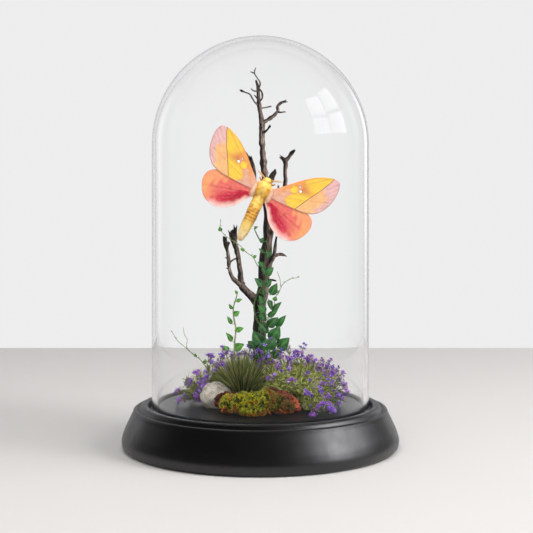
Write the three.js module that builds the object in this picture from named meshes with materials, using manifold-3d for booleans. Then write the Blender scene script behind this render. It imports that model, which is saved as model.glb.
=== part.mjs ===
import * as THREE from 'three';
import { mergeVertices } from 'three/addons/utils/BufferGeometryUtils.js';
import Module from 'manifold-3d';

// A mounted pink and yellow moth on a dead branch, with a climbing vine, dried
// flowers, a grass tuft, a stone and mossy bark, on a turned wooden base under a
// glass dome. Millimetres, +Z up. The origin is the middle of the base's
// underside, and the front faces -Y.

// ---- driving dimensions -------------------------------------------------

const GAP = 0.3; // clearance between neighbouring pieces
const TURNING_SIDES = 28; // facets round the base and the dome

const FOOT_RADIUS = 67.8; // base where it stands on the table
const BASE_RADIUS = 70.1; // base at its widest, just above the foot
const SHOULDER_RADIUS = 64.2; // top outer corner of the sloping skirt
const COVE_RADIUS = 61.9; // narrow hollow between skirt and bead
const BEAD_RADIUS = 59.1; // raised ring round the glass
const GROOVE_OUTER_RADIUS = 56.6;
const GROOVE_INNER_RADIUS = 51.9;
const GROOVE_FLOOR = 18.5;
const DECK = 21.5; // flat top that carries the scene
const BEAD_TOP = 21.9;

const DOME_RADIUS = 55.0; // outside of the glass
const GLASS = 2.4; // thickness of the glass
const DOME_SPRING = 152.9; // height where the straight wall becomes the half ball
const DOME_ARC_STEPS = 6;
const RIM_ROUNDING = 0.7; // corners taken off the foot of the glass

const ON_DECK = DECK + GAP; // everything planted on the deck starts here

const MOTH_TILT = THREE.MathUtils.degToRad(26); // head leans to the right
const MOTH_CENTRE = [1.3, -1.8, 129.8]; // middle of the thorax
const WING_THICKNESS = 0.5;
const WING_LIFT = 0.09; // how far the wings come forward, per mm of span

// ---- materials ----------------------------------------------------------

function finish(color, roughness, metalness = 0) {
  return new THREE.MeshStandardMaterial({ color, roughness, metalness });
}

const blackWood = finish(0x17181a, 0.45);
const glass = finish(0xe9eef0, 0.02);
glass.transparent = true;
glass.opacity = 0.25;
const charredWood = finish(0x3a332f, 0.85);
const mothScales = finish(0xf2a15a, 0.8);
const vineGreen = finish(0x2f6b2f, 0.45);
const tendrilGreen = finish(0x6f8a4a, 0.6);
const grassGreen = finish(0x55602f, 0.7);
const violetFlower = finish(0x7a4fc0, 0.7);
const paleStone = finish(0xb9b2a2, 0.9);
const maroonBark = finish(0x5a2c20, 0.9);
const mossGreen = finish(0x8f9a1e, 0.95);

// ---- solids -------------------------------------------------------------

const wasm = await Module();
wasm.setup();

/** The closed three.js geometry as a manifold solid, its shared corners merged. */
function solidOf(geometry) {
  const bare = geometry.clone();
  bare.deleteAttribute('normal');
  bare.deleteAttribute('uv');
  const merged = mergeVertices(bare, 1e-4);
  const corners = merged.index.array;
  const faces = [];
  for (let i = 0; i < corners.length; i += 3) {
    const [a, b, c] = [corners[i], corners[i + 1], corners[i + 2]];
    if (a !== b && b !== c && c !== a) faces.push(a, b, c);
  }
  return new wasm.Manifold(new wasm.Mesh({
    numProp: 3,
    vertProperties: Float32Array.from(merged.attributes.position.array),
    triVerts: Uint32Array.from(faces),
  }));
}

/** The manifold solid as a three.js geometry. */
function geometryOf(solid) {
  const mesh = solid.getMesh();
  const geometry = new THREE.BufferGeometry();
  const places = Float32Array.from(mesh.vertProperties);
  geometry.setAttribute('position', new THREE.BufferAttribute(places, 3));
  geometry.setIndex(new THREE.BufferAttribute(Uint32Array.from(mesh.triVerts), 1));
  geometry.computeVertexNormals();
  return geometry;
}

/** All the solids joined in one. */
function join(solids) {
  return solids.reduce((whole, piece) => whole.add(piece));
}

/** What is left of a solid, in its largest single piece, once the others are cut away. */
function clearOf(solid, others) {
  const cut = others.reduce((rest, other) => rest.subtract(other), solid);
  const pieces = cut.decompose();
  return pieces.reduce((best, piece) => (piece.volume() > best.volume() ? piece : best));
}

/** A profile of [radius, height] pairs turned about the vertical axis. */
function turned(profile) {
  const points = profile.map(([radius, height]) => new THREE.Vector2(radius, height));
  return new THREE.LatheGeometry(points, TURNING_SIDES).rotateX(Math.PI / 2);
}

/** The smooth curve through the first three numbers of every station. */
function curveThrough(stations) {
  const points = stations.map(([x, y, z]) => new THREE.Vector3(x, y, z));
  return new THREE.CatmullRomCurve3(points, false, 'centripetal');
}

/**
 * A limb of round section: a turned profile whose rows are carried along the curve
 * through stations of [x, y, z, radius]. Every radius grows by `grow`, and so do the
 * ends.
 */
function limb(stations, sides, grow = 0) {
  const curve = curveThrough(stations);
  const rows = stations.length - 1;
  const profile = stations.map(([, , , radius], row) => new THREE.Vector2(radius + grow, row));
  profile.unshift(new THREE.Vector2(0, 0));
  profile.push(new THREE.Vector2(0, rows));

  const centres = [];
  const frames = [];
  let normal = new THREE.Vector3(0.3, -1, 0.2);
  for (let row = 0; row <= rows; row += 1) {
    const centre = curve.getPoint(row / rows);
    const tangent = curve.getTangent(row / rows);
    normal = normal.clone().addScaledVector(tangent, -normal.dot(tangent)).normalize();
    if (row === 0) centre.addScaledVector(tangent, -grow);
    if (row === rows) centre.addScaledVector(tangent, grow);
    centres.push(centre);
    frames.push([normal, normal.clone().cross(tangent)]);
  }

  const geometry = new THREE.LatheGeometry(profile, sides);
  const place = geometry.attributes.position;
  for (let i = 0; i < place.count; i += 1) {
    const row = Math.round(place.getY(i));
    const [across, beside] = frames[row];
    const moved = centres[row].clone()
      .addScaledVector(across, place.getX(i))
      .addScaledVector(beside, place.getZ(i));
    place.setXYZ(i, moved.x, moved.y, moved.z);
  }
  return solidOf(geometry);
}

/**
 * A thin ovate blade from base to tip: a ball with one ring of corners, pressed flat
 * and folded a little along its midrib. `facing` is the way its upper side looks.
 */
function blade(base, tip, width, facing, { thickness = 0.45, fold = 0.25, grow = 0 } = {}) {
  const from = new THREE.Vector3(...base);
  const along = new THREE.Vector3(...tip).sub(from);
  const length = along.length() + 2 * grow;
  along.normalize();
  from.addScaledVector(along, -grow);
  const up = new THREE.Vector3(...facing);
  up.addScaledVector(along, -up.dot(along)).normalize();
  const side = up.clone().cross(along);
  const geometry = new THREE.SphereGeometry(1, 6, 2);
  const place = geometry.attributes.position;
  for (let i = 0; i < place.count; i += 1) {
    const height = place.getY(i);
    const spot = from.clone();
    if (Math.abs(height) > 0.5) {
      spot.addScaledVector(along, 0.45 * length);
      spot.addScaledVector(up, Math.sign(height) * (thickness / 2 + grow));
    } else {
      const turn = Math.atan2(place.getZ(i), place.getX(i));
      const fraction = Math.abs(turn) / Math.PI;
      const half = (width / 2 + grow) * Math.sin(Math.PI * fraction ** 0.85);
      spot.addScaledVector(along, fraction * length);
      spot.addScaledVector(side, Math.sign(turn) * half);
      spot.addScaledVector(up, fold * half);
    }
    place.setXYZ(i, spot.x, spot.y, spot.z);
  }
  return solidOf(geometry);
}

/**
 * A lumpy ball: its surface swells and sinks with crossing waves, and it is cut off
 * level with the deck.
 */
function lump([x, y, z], [wide, deep, high], { waves, swell, columns, rows, grow = 0 }) {
  const geometry = new THREE.SphereGeometry(1, columns, rows);
  const place = geometry.attributes.position;
  for (let i = 0; i < place.count; i += 1) {
    const spot = new THREE.Vector3().fromBufferAttribute(place, i);
    const across = Math.sin(waves * spot.x + 1);
    const upward = Math.cos(waves * spot.y + x);
    const inward = Math.sin(waves * spot.z + y);
    const size = 1 + swell * across * upward * inward;
    const floor = ON_DECK - grow;
    place.setXYZ(
      i,
      x + spot.x * (wide * size + grow),
      y + spot.z * (deep * size + grow),
      Math.max(z - spot.y * (high * size + grow), floor),
    );
  }
  return solidOf(geometry);
}

const part = new THREE.Group();

/** Adds one named piece to the scene. */
function add(name, geometry, material) {
  const mesh = new THREE.Mesh(geometry, material);
  mesh.name = name;
  part.add(mesh);
  return mesh;
}

// ---- base and dome ------------------------------------------------------

function baseGeometry() {
  return turned([
    [0, 0],
    [FOOT_RADIUS, 0],
    [BASE_RADIUS - 0.6, 1.3],
    [BASE_RADIUS, 4.2],
    [BASE_RADIUS - 0.9, 8],
    [SHOULDER_RADIUS + 2.6, 13.4],
    [SHOULDER_RADIUS, 18.6],
    [SHOULDER_RADIUS - 1.2, 19.9],
    [COVE_RADIUS, 19.3],
    [BEAD_RADIUS + 1.4, 21.3],
    [BEAD_RADIUS, BEAD_TOP],
    [GROOVE_OUTER_RADIUS + 0.4, BEAD_TOP - 1],
    [GROOVE_OUTER_RADIUS, GROOVE_FLOOR],
    [GROOVE_INNER_RADIUS, GROOVE_FLOOR],
    [GROOVE_INNER_RADIUS - 0.5, DECK],
    [0, DECK],
  ]);
}

function domeGeometry() {
  const foot = GROOVE_FLOOR + GAP;
  const inside = DOME_RADIUS - GLASS;
  const outer = [];
  const inner = [];
  for (let step = 0; step <= DOME_ARC_STEPS; step += 1) {
    const angle = (step / DOME_ARC_STEPS) * (Math.PI / 2);
    outer.push([DOME_RADIUS * Math.cos(angle), DOME_SPRING + DOME_RADIUS * Math.sin(angle)]);
    inner.unshift([inside * Math.cos(angle), DOME_SPRING + inside * Math.sin(angle)]);
  }
  outer[DOME_ARC_STEPS][0] = 0;
  inner[0][0] = 0;
  const rim = [
    [inside, foot + RIM_ROUNDING],
    [inside + RIM_ROUNDING, foot],
    [DOME_RADIUS - RIM_ROUNDING, foot],
    [DOME_RADIUS, foot + RIM_ROUNDING],
  ];
  return turned([...inner, ...rim, ...outer]);
}

// ---- dead branch --------------------------------------------------------
// Every list holds the stations of one limb, [x, y, z, radius], from its foot to its
// broken end. The first limb of a piece carries the others.

const TRUNK_TOP = 163;

const branch = {
  trunk: [
    [[-1.2, 6, ON_DECK, 4.4], [-0.8, 6, 31.7, 3.4], [-0.7, 5.4, 49.8, 3.1], [-0.4, 5, 61.9, 3.1],
      [0, 4.6, 71, 3.1], [1.4, 4.2, 80, 3], [2.2, 4, 92, 2.9], [3.7, 4, 104, 2.7], [4.1, 4, 112, 2.4],
      [3.2, 4, 124, 2], [2.6, 4, 133, 1.8], [1.9, 4.4, 141, 1.65], [1.3, 5, 149.1, 1.55],
      [0.8, 5.6, 157.1, 1.5], [0.7, 6, TRUNK_TOP, 1.45]],
    [[2.5, 3.6, 83, 0.9], [5.4, 1.8, 84.1, 0.6], [8, 0.6, 83.7, 0.25]],
    [[3, 4.5, 130, 1.1], [5.7, 5.4, 136.4, 1.2], [7.2, 6, 139.5, 0.6]],
    [[1.2, 5.2, 159.1, 0.7], [3.6, 3.6, 161, 0.5], [5, 3, 162.8, 0.6]],
  ],
  leader: [
    [[0.7, 6, TRUNK_TOP + GAP, 1.45], [0.4, 6.2, 167.7, 1.3], [-0.2, 6, 171.2, 1.1], [-0.8, 5.4, 175.1, 1],
      [-1.2, 4.6, 181.4, 0.8], [-1.6, 4.2, 183.6, 0.7], [-2.3, 3.6, 186.4, 0.35]],
    [[-1.2, 4.4, 181.6, 0.5], [-0.1, 3.4, 184.8, 0.4], [-1.6, 2.4, 187.4, 0.35], [-3.1, 1.2, 190, 0.3],
      [-2.4, 0.4, 192.4, 0.2]],
    [[-2.9, 1.4, 189.6, 0.3], [-5, 2.2, 190.6, 0.2]],
    [[-0.7, 5.2, 175.2, 0.5], [0.9, 4, 177.1, 0.45], [0.7, 3.6, 180.1, 0.4], [-1.2, 4.1, 182.7, 0.4]],
    [[-1.2, 4.6, 181, 0.5], [-3.4, 3.4, 180.9, 0.35], [-4.9, 2.8, 181.9, 0.3]],
    [[-0.8, 5.3, 176.3, 0.5], [-3, 6.6, 179, 0.3]],
    [[-0.3, 6, 172.2, 0.5], [2.6, 7, 172.7, 0.35], [5.4, 7.6, 173.4, 0.4]],
  ],
  upper_left_twig: [
    [[-0.8, 5.6, 173.8, 0.6], [-2.6, 5, 175, 0.5], [-4, 3.8, 176.8, 0.45], [-5.5, 2.4, 179.1, 0.4],
      [-8.1, 1, 180, 0.4], [-9.9, -0.4, 180.7, 0.5]],
  ],
  upper_right_branch: [
    [[0.9, 6, 164.9, 1.2], [3, 6.4, 165.8, 1.05], [5.3, 7, 167.2, 0.95], [7.8, 7.6, 169.5, 0.85],
      [9, 8, 171.4, 0.8], [9, 8.6, 173.2, 0.75], [10, 9.4, 174.9, 0.75], [13.5, 10.4, 176.5, 0.7]],
    [[8.8, 7.9, 170.6, 0.5], [10, 6.6, 170.2, 0.4], [12.8, 5, 170.3, 0.3]],
  ],
  broken_limb: [
    [[2, 4.6, 127, 1.6], [-3.4, 7.6, 135.3, 1.2], [-5.1, 9, 142.6, 0.9], [-7.5, 10.4, 149.4, 0.35]],
    [[-2.8, 7.4, 134.5, 1], [-3.9, 8.6, 141.6, 0.9], [-5.2, 9, 147.4, 0.35]],
  ],
  right_limb: [
    [[4.4, 4.6, 116, 1.7], [8, 6.4, 123.4, 1.4], [11.9, 8, 129.1, 1.15], [13, 8.8, 134.1, 1.05],
      [12.9, 9.4, 139.5, 1], [12.6, 9.8, 145.3, 0.9], [10.4, 10.4, 147.3, 0.35]],
    [[12.6, 9.8, 145.1, 0.8], [14.6, 9.2, 147.1, 0.85], [15.8, 8.6, 148.7, 0.85], [17.6, 7.6, 150.3, 0.4]],
    [[8.2, 6.6, 124, 0.9], [9.2, 6, 129, 0.7], [9.3, 5.4, 132.3, 0.5]],
  ],
  right_fork: [
    [[3.2, 3, 86.5, 1.5], [5, 1.6, 92.5, 1.2], [7, 0.4, 97.1, 0.95], [7.6, -0.6, 102, 0.75],
      [8.2, -1.4, 106.1, 0.45]],
    [[6.4, 0.9, 95.7, 0.8], [9, 1, 97.1, 0.9], [10.8, 1.6, 97.1, 0.8], [13.3, 2.6, 96.2, 0.25]],
  ],
  left_limb: [
    [[0, 4.6, 71, 2.7], [-2.8, 5.4, 74.1, 2.3], [-6.4, 6.2, 77.1, 2], [-9.4, 7, 80.4, 1.8],
      [-10, 7.4, 82.2, 1.6]],
  ],
  left_limb_inner: [
    [[-9.9, 7.3, 82, 1.5], [-10.4, 8, 85.8, 1.45], [-10.7, 8.4, 88.8, 1.35], [-11.5, 9, 95, 1.2],
      [-12.1, 9.2, 99.4, 1.2], [-12.8, 9.4, 102.9, 0.8], [-13.1, 9.6, 106.9, 0.6], [-13, 9.6, 111.1, 0.75]],
    [[-12.2, 9.4, 97.3, 1], [-13.4, 10, 101.4, 1.1], [-14.5, 10.4, 104.9, 1.2], [-15.6, 10.8, 108.5, 0.5]],
    [[-14.1, 10.2, 103.7, 0.8], [-14.1, 11, 109.3, 0.4]],
  ],
  left_limb_outer: [
    [[-9.5, 6.8, 80.7, 1.3], [-11.8, 5.6, 82.5, 1.25], [-14, 4.4, 84.8, 1.1], [-15.8, 3.4, 88.5, 0.95],
      [-16.2, 2.6, 92.9, 0.9], [-16.6, 2, 97.4, 0.8], [-17.4, 1.2, 101.3, 0.8], [-18.3, 0.4, 105.5, 0.6]],
    [[-17.3, 1.6, 100.4, 0.6], [-16.2, 2.6, 103.2, 0.6]],
    [[-16.4, 2.4, 94.7, 0.5], [-17.7, 1.6, 95.4, 0.4]],
    [[-15.9, 3.2, 89.2, 0.5], [-17.3, 2.2, 90.2, 0.4]],
    [[-16.1, 2.7, 92.4, 0.5], [-14.1, 5.6, 94.2, 0.45], [-11.5, 8.8, 94.8, 0.45]],
  ],
};

/** Which limbs a piece of the branch grows from, and so stops short of. */
const growsFrom = {
  leader: ['trunk'],
  upper_left_twig: ['leader'],
  upper_right_branch: ['leader', 'trunk'],
  broken_limb: ['trunk'],
  right_limb: ['trunk'],
  right_fork: ['trunk'],
  left_limb: ['trunk'],
  left_limb_inner: ['left_limb'],
  left_limb_outer: ['left_limb', 'left_limb_inner'],
};

const THICK_LIMB = 2; // limbs that start with a larger radius than this are rounder

/** One piece of the branch, all of its limbs joined. */
function branchPiece(name, grow = 0) {
  return join(branch[name].map((stations, index) => {
    const [, , , firstRadius] = stations[0];
    const thinSides = index === 0 ? 5 : 4;
    return limb(stations, firstRadius > THICK_LIMB ? 8 : thinSides, grow);
  }));
}

/** The middle and radius of the trunk at a height, between two of its stations. */
function trunkAt(height) {
  const stations = branch.trunk[0];
  const upper = Math.max(1, stations.findIndex((station) => station[2] >= height));
  const [low, high] = [stations[upper - 1], stations[upper]];
  const along = (height - low[2]) / (high[2] - low[2]);
  return low.map((value, index) => THREE.MathUtils.lerp(value, high[index], along));
}

// ---- moth ---------------------------------------------------------------
// In the moth's own frame: X out to the right wing, Y towards the head, Z towards
// the viewer. One forewing and one hindwing are drawn, and the others mirror them.

const forewing = [
  [3, 1.2], [7.6, 5.4], [11.2, 8.8], [16, 13.3], [21.5, 17.4], [26.3, 19.7], [30.2, 20.7], [33, 20.1],
  [34.4, 17], [34.5, 12.5], [33.6, 7.8], [31.6, 3.6], [28.5, 0.3], [23.2, -1.4], [17.4, -1.8], [11, -2],
  [3, -2],
];
const hindwing = [
  [2.5, -1.5], [10, -1], [18, -0.6], [26, -1], [29, -3.3], [30, -7.2], [28.6, -11.8], [25.4, -16],
  [21.5, -17.8], [17.5, -17.9], [13.5, -16.3], [9.3, -13.1], [6.4, -8.8], [3, -4.8],
];
const FOREWING_HEIGHT = 0.7; // height of each wing's root over the middle of the body
const HINDWING_HEIGHT = 0.3;
const LEG_ROOTS = [[3.2, 5.2], [0.6, 0.8], [-2, -3.7]]; // where each leg starts and bends

/** A flat wing cut to its outline, raised towards its tip. `hand` is 1 or -1. */
function wing(outline, height, hand) {
  const shape = new THREE.Shape(outline.map(([x, y]) => new THREE.Vector2(x, y)));
  const geometry = new THREE.ExtrudeGeometry(shape, { depth: WING_THICKNESS, bevelEnabled: false });
  const place = geometry.attributes.position;
  for (let i = 0; i < place.count; i += 1) {
    const span = place.getX(i);
    place.setZ(i, place.getZ(i) + height + WING_LIFT * span);
  }
  const solid = solidOf(geometry);
  return hand > 0 ? solid : solid.mirror([1, 0, 0]);
}

/** A ball stretched to three radii, in the moth's frame. */
function ball([x, y, z], [wide, long, deep], columns = 9, rows = 6) {
  return solidOf(new THREE.SphereGeometry(1, columns, rows).scale(wide, long, deep).translate(x, y, z));
}

function mothSolid() {
  const thorax = ball([0, 0, 0], [4.3, 6.2, 3.4]);
  const head = ball([0, 5.4, 0], [2.4, 1.9, 2]);
  const abdomen = limb(
    [[0, -3, 0, 3], [0.1, -9, 0.2, 3.1], [0.3, -15, 0.4, 3], [0.3, -21, 0.5, 2.8], [0.3, -26, 0.4, 2.2],
      [0.3, -28.4, 0.3, 0.9]],
    8,
  );
  const sides = [1, -1].flatMap((hand) => {
    const antenna = limb(
      [[hand * 1.4, 5.8, 1, 0.35], [hand * 4, 6.9, 1.4, 0.45], [hand * 7, 8, 1.6, 0.2]],
      4,
    );
    const legs = LEG_ROOTS.map(([root, knee]) => limb(
      [[hand * 1.6, root, -1.6, 0.4], [hand * 4.4, knee, -2.4, 0.35], [hand * 2.8, knee - 1.6, -3.1, 0.2]],
      4,
    ));
    return [
      wing(forewing, FOREWING_HEIGHT, hand),
      wing(hindwing, HINDWING_HEIGHT, hand),
      antenna,
      ...legs,
    ];
  });
  return join([thorax, head, abdomen, ...sides]);
}

// ---- vine, shoots and tendrils ------------------------------------------

const VINE_STEM = 0.45; // radius of the climbing stem
const VINE_WEAVE = 0.9; // how far round the trunk the stem swings, in radians
const VINE_STEPS = 16;
const VINE_TOP = 104;

/** The climbing stem's station at a height: it weaves across the front of the trunk. */
function vineStation(height) {
  const [x, y, , radius] = trunkAt(height);
  const swing = VINE_WEAVE * Math.sin(height / 6.5);
  const reach = radius + GAP + VINE_STEM + 0.35;
  const thickness = VINE_STEM * (1.3 - height / 160);
  return [x + reach * Math.sin(swing), y - reach * Math.cos(swing), height, thickness];
}

// Leaves are [y, x, z of the base, length, lean in degrees from upright, width].
const vineLeaves = [
  [-1, 0.1, 103.2, 3, 31, 1.9], [-1, 1.3, 98, 3.1, -42, 1.6], [-2, 3.3, 95.4, 4.4, 36, 2.5],
  [-1, 1.3, 91, 3.6, -45, 2.3], [-3, 1.1, 90.9, 4.1, 158, 2], [-2, 3.3, 86.3, 5.6, 36, 3],
  [-2, 0.8, 80.9, 5.7, -40, 3.3], [-3, 3.2, 80.7, 4.6, 34, 2.5], [-2, 5.2, 76.6, 6.9, 28, 3.6],
  [-2, 1.6, 76.6, 3.3, -4, 2], [-2, 2, 72.1, 5.1, -32, 2.5], [-2, 4.1, 74.3, 5.3, 165, 2.5],
  [-3, 2.8, 68.1, 5.4, -49, 3], [-1, 5.9, 67.9, 7.1, 42, 2.5], [-3, 3.8, 65.5, 6.6, 50, 2.5],
  [-2, -0.2, 68, 5.6, 145, 3], [-3, 3.6, 60.7, 6.7, 48, 3.6], [0, 8, 60, 7.3, 38, 2.5],
  [-4, -0.5, 62.6, 6.3, 137, 3.8], [-4, 4.9, 54, 7.9, 33, 4.8], [-4, 0.8, 51.5, 7.7, -32, 4.6],
  [-3, 8.9, 49.1, 7.6, 43, 4.6], [-6, 3.8, 49.7, 6.3, 29, 4.1], [-3, -2.5, 50.4, 4.5, -52, 3],
  [-6, 1.1, 48.7, 5.8, 18, 3.6],
];

// The fine strands are [x, y, z, radius], from where they root to their tips.
const strands = {
  vine_tip: [[0.6, -0.6, 103, 0.35], [-1.4, -1, 106.5, 0.3], [-3.2, -1.5, 110.4, 0.25]],
  left_shoot: [
    [-12.4, -1, ON_DECK, 0.45], [-12.9, 0, 38.3, 0.4], [-13.2, 0, 51.5, 0.4], [-12.6, 0.4, 60.2, 0.35],
    [-13.5, 0.6, 64.6, 0.35], [-13.7, 0.4, 70.4, 0.3], [-12.6, 0, 74.2, 0.3], [-11.6, -0.6, 77.8, 0.25],
  ],
  upper_tendril: [
    [-1.2, 0.4, 91, 0.35], [-2.2, -1, 92.9, 0.35], [-3.8, -2, 95.8, 0.3], [-7.3, -2.6, 98.5, 0.3],
    [-10.6, -2.6, 102, 0.3], [-14.4, -3, 104.4, 0.28], [-17.9, -3.4, 106.9, 0.25],
    [-20.3, -3, 110.2, 0.25], [-20.1, -2, 114.7, 0.2],
  ],
  right_tendril: [
    [2.8, 0.2, 63.5, 0.35], [5.6, -0.6, 66.6, 0.3], [7.1, -1, 72, 0.3], [7.1, -1, 74.7, 0.28],
    [9.3, -1.4, 77.7, 0.28], [11.1, -2, 81.7, 0.25], [14.2, -2.4, 84.3, 0.25], [19.9, -3, 85.8, 0.2],
  ],
  right_tendril_fork: [[10.4, -1.8, 80.2, 0.25], [10, -2.6, 84.1, 0.22], [8.5, -3.4, 88.7, 0.2]],
  far_left_tendril: [
    [-22, 4, ON_DECK, 0.35], [-22.8, 3, 30, 0.35], [-26.6, 2, 37.5, 0.3], [-30.6, 1, 43.4, 0.3],
    [-35.1, 0, 46.9, 0.28], [-38.7, -1.4, 50.5, 0.25], [-42, -2, 53.4, 0.25], [-45.2, -2, 58.6, 0.2],
  ],
  far_left_tendril_fork: [
    [-34.9, 0, 46.7, 0.28], [-37.8, 1, 50.8, 0.25], [-37.4, 1.8, 53.4, 0.22], [-38.9, 2.4, 56, 0.22],
    [-39.5, 3, 59.6, 0.2],
  ],
};
const shootLeaves = [
  [0, -11.8, 77.1, 2.2, -30, 1.2], [0, -12.2, 73.2, 3.2, 66, 1.6], [0, -14.2, 69.3, 3.3, -35, 1.4],
  [0, -13.5, 66.2, 3.6, 55, 2.5], [0, -14.5, 61.7, 4.7, -30, 1.8], [0, -12.4, 58.1, 4.2, 66, 2.5],
  [0, -14.5, 52.8, 5.6, -32, 2.3], [0, -13.2, 48.5, 5.8, 57, 3.6], [0, -16.2, 48, 3.6, -39, 2],
];
const upperTendrilLeaves = [
  [-1.5, -3.6, 95.4, 2.2, 50, 1.4], [-2.2, -8.2, 99, 2.4, -60, 1.5], [-3, -19.9, 109, 2.4, -20, 1.8],
];
const rightTendrilLeaves = [[-1, 7.1, 73.6, 2.6, 20, 2], [-1.4, 9, 77.6, 1.8, -30, 1.3]];
const farLeftLeaves = [
  [2, -28.6, 41.2, 2.6, 15, 1.7], [2, -27.6, 39, 2.2, 120, 1.5], [0.6, -32.8, 45, 2, -20, 1.3],
  [2, -24.2, 33.6, 3.4, 60, 2.2],
];

/** The station on a stem that lies nearest to a spot. */
function nearestStation(stations, spot) {
  const samples = curveThrough(stations).getPoints(stations.length * 8);
  return samples.reduce((best, next) => (next.distanceTo(spot) < best.distanceTo(spot) ? next : best));
}

/** Leaves on a stem, each growing from the nearest point of the stem. */
function leavesOn(stations, leaves, grow = 0) {
  return leaves.map(([y, x, z, length, lean, width], index) => {
    const angle = THREE.MathUtils.degToRad(lean);
    const turn = Math.sin(index * 2.4);
    const base = new THREE.Vector3(x, y, z);
    const way = new THREE.Vector3(Math.sin(angle), -0.12 - 0.1 * turn, Math.cos(angle));
    const tip = base.clone().addScaledVector(way, length);
    const facing = [0.35 * turn, -1, 0.35];
    const root = nearestStation(stations, base);
    return blade([...root], [...tip], width, facing, { grow });
  });
}

function vineSolid(grow = 0) {
  const stations = [];
  for (let step = 0; step <= VINE_STEPS; step += 1) {
    stations.push(vineStation(ON_DECK + 0.2 + (VINE_TOP - ON_DECK) * (step / VINE_STEPS)));
  }
  const stem = limb(stations, 4, grow);
  const tip = limb(strands.vine_tip, 4, grow);
  const tipLeaf = blade([-3.3, -1.5, 110.2], [-1.2, -1.9, 111.4], 1.5, [0.1, -1, 0.4], { grow });
  return join([stem, tip, tipLeaf, ...leavesOn(stations, vineLeaves, grow)]);
}

/** A strand, its side strands and its leaves, joined. */
function shootSolid(name, leaves, sideStrands = [], grow = 0) {
  const stems = [name, ...sideStrands].map((strand) => limb(strands[strand], 3, grow));
  return join([...stems, ...leavesOn(strands[name], leaves, grow)]);
}

// ---- stone, bark and moss -----------------------------------------------

function stoneSolid(grow = 0) {
  return lump([-21.6, -11.5, 26.4], [8.2, 8, 7.6], { waves: 2.4, swell: 0.16, columns: 12, rows: 8, grow });
}

const barkStations = [
  [-21.3, -21, 26.4, 2.2], [-17.5, -23.2, 27.4, 4], [-10, -26.5, 26.4, 4.6], [0, -28.5, 27, 5],
  [8, -27.5, 27.8, 4.8], [14, -25.5, 26, 4], [17.6, -25, 23.8, 1.8],
];

function barkSolid(grow = 0) {
  const slab = limb(barkStations, 8, grow);
  const under = solidOf(new THREE.BoxGeometry(60, 40, 10).translate(0, -26, ON_DECK - grow - 5));
  return slab.subtract(under);
}

// Moss cushions are [x, y, z of the middle], [half width, half depth, half height].
const mossCushions = [
  [[-14.5, -27.5, 25.6], [5.2, 5.4, 5.2]],
  [[-8.5, -30.8, 26.8], [5.6, 5.6, 5.6]],
  [[-2.5, -32.2, 27.2], [5.6, 5.9, 5.4]],
  [[3.2, -31.2, 28], [5.4, 5.8, 5.6]],
  [[8.4, -30.2, 26.4], [5, 5.4, 4.9]],
  [[12.6, -29, 24.4], [4, 4.2, 3.4]],
  [[-3.5, -35.6, 23.4], [6.6, 4, 2.9]],
];

function mossSolid(grow = 0) {
  const form = { waves: 4, swell: 0.14, columns: 8, rows: 5, grow };
  return join(mossCushions.map(([middle, size]) => lump(middle, size, form)));
}

// ---- grass and flowers --------------------------------------------------

const GOLDEN_ANGLE = Math.PI * (3 - Math.sqrt(5));

const GRASS_ROOT = [-8.6, -8.5]; // middle of the tuft on the deck
const GRASS_BLADES = 34;
const GRASS_HEIGHT = 27.5;
const GRASS_SPREAD = 13.5; // how far the outer tips lean out
const GRASS_ROOT_RADIUS = 4.2;

function grassSolid(grow = 0) {
  const [x, y] = GRASS_ROOT;
  const crown = solidOf(
    new THREE.CylinderGeometry(3.4 + grow, 4.6 + grow, 2.4 + grow, 9)
      .rotateX(Math.PI / 2)
      .translate(x, y, ON_DECK + 1.2 + grow / 2),
  );
  const blades = [];
  for (let index = 0; index < GRASS_BLADES; index += 1) {
    const out = Math.sqrt((index + 0.5) / GRASS_BLADES);
    const turn = index * GOLDEN_ANGLE;
    const height = GRASS_HEIGHT * (1 - 0.42 * out ** 3) * (0.9 + 0.1 * Math.sin(index * 1.7));
    const at = (radius, rise, thick) => [
      x + radius * Math.cos(turn), y + radius * Math.sin(turn), ON_DECK + rise, thick,
    ];
    const root = GRASS_ROOT_RADIUS * out * 0.8;
    blades.push(limb(
      [
        at(root, 0.6, 0.45),
        at(root + GRASS_SPREAD * out * 0.34, height * 0.58, 0.36),
        at(root + GRASS_SPREAD * out, height, 0.14),
      ],
      3,
      grow,
    ));
  }
  return join([crown, ...blades]);
}

/** The room that the tuft takes: narrow at its crown and wide at its tips. */
function grassRoom() {
  const [x, y] = GRASS_ROOT;
  const room = turned([[0, 0], [5.6, 0], [8.5, 12], [13, GRASS_HEIGHT], [0, GRASS_HEIGHT]]);
  return solidOf(room.translate(x, y, DECK));
}

/** The room round the foot of the trunk, where the vine's leaves hang. */
function trunkRoom() {
  const room = new THREE.CylinderGeometry(6, 6, 60, 10).rotateX(Math.PI / 2);
  return solidOf(room.translate(-0.6, 3.2, DECK + 29));
}

// Each clump of flowers has its root on the deck, the reach of its sprigs to the
// sides, forward, back and up, and its number of sprigs.
const clumps = {
  right_flowers: { root: [18, -7], reach: [25, 24, 17, 28], sprigs: 26 },
  left_flowers: { root: [-28, -1], reach: [14, 11, 12, 24], sprigs: 14 },
  back_flowers: { root: [-11, 14], reach: [12, 8, 8, 27], sprigs: 9 },
};
const FLOWER_RADIUS = 1.7;
const MAT_SHARE = 0.74; // size of the leafy mat against the reach of the sprigs

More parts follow.
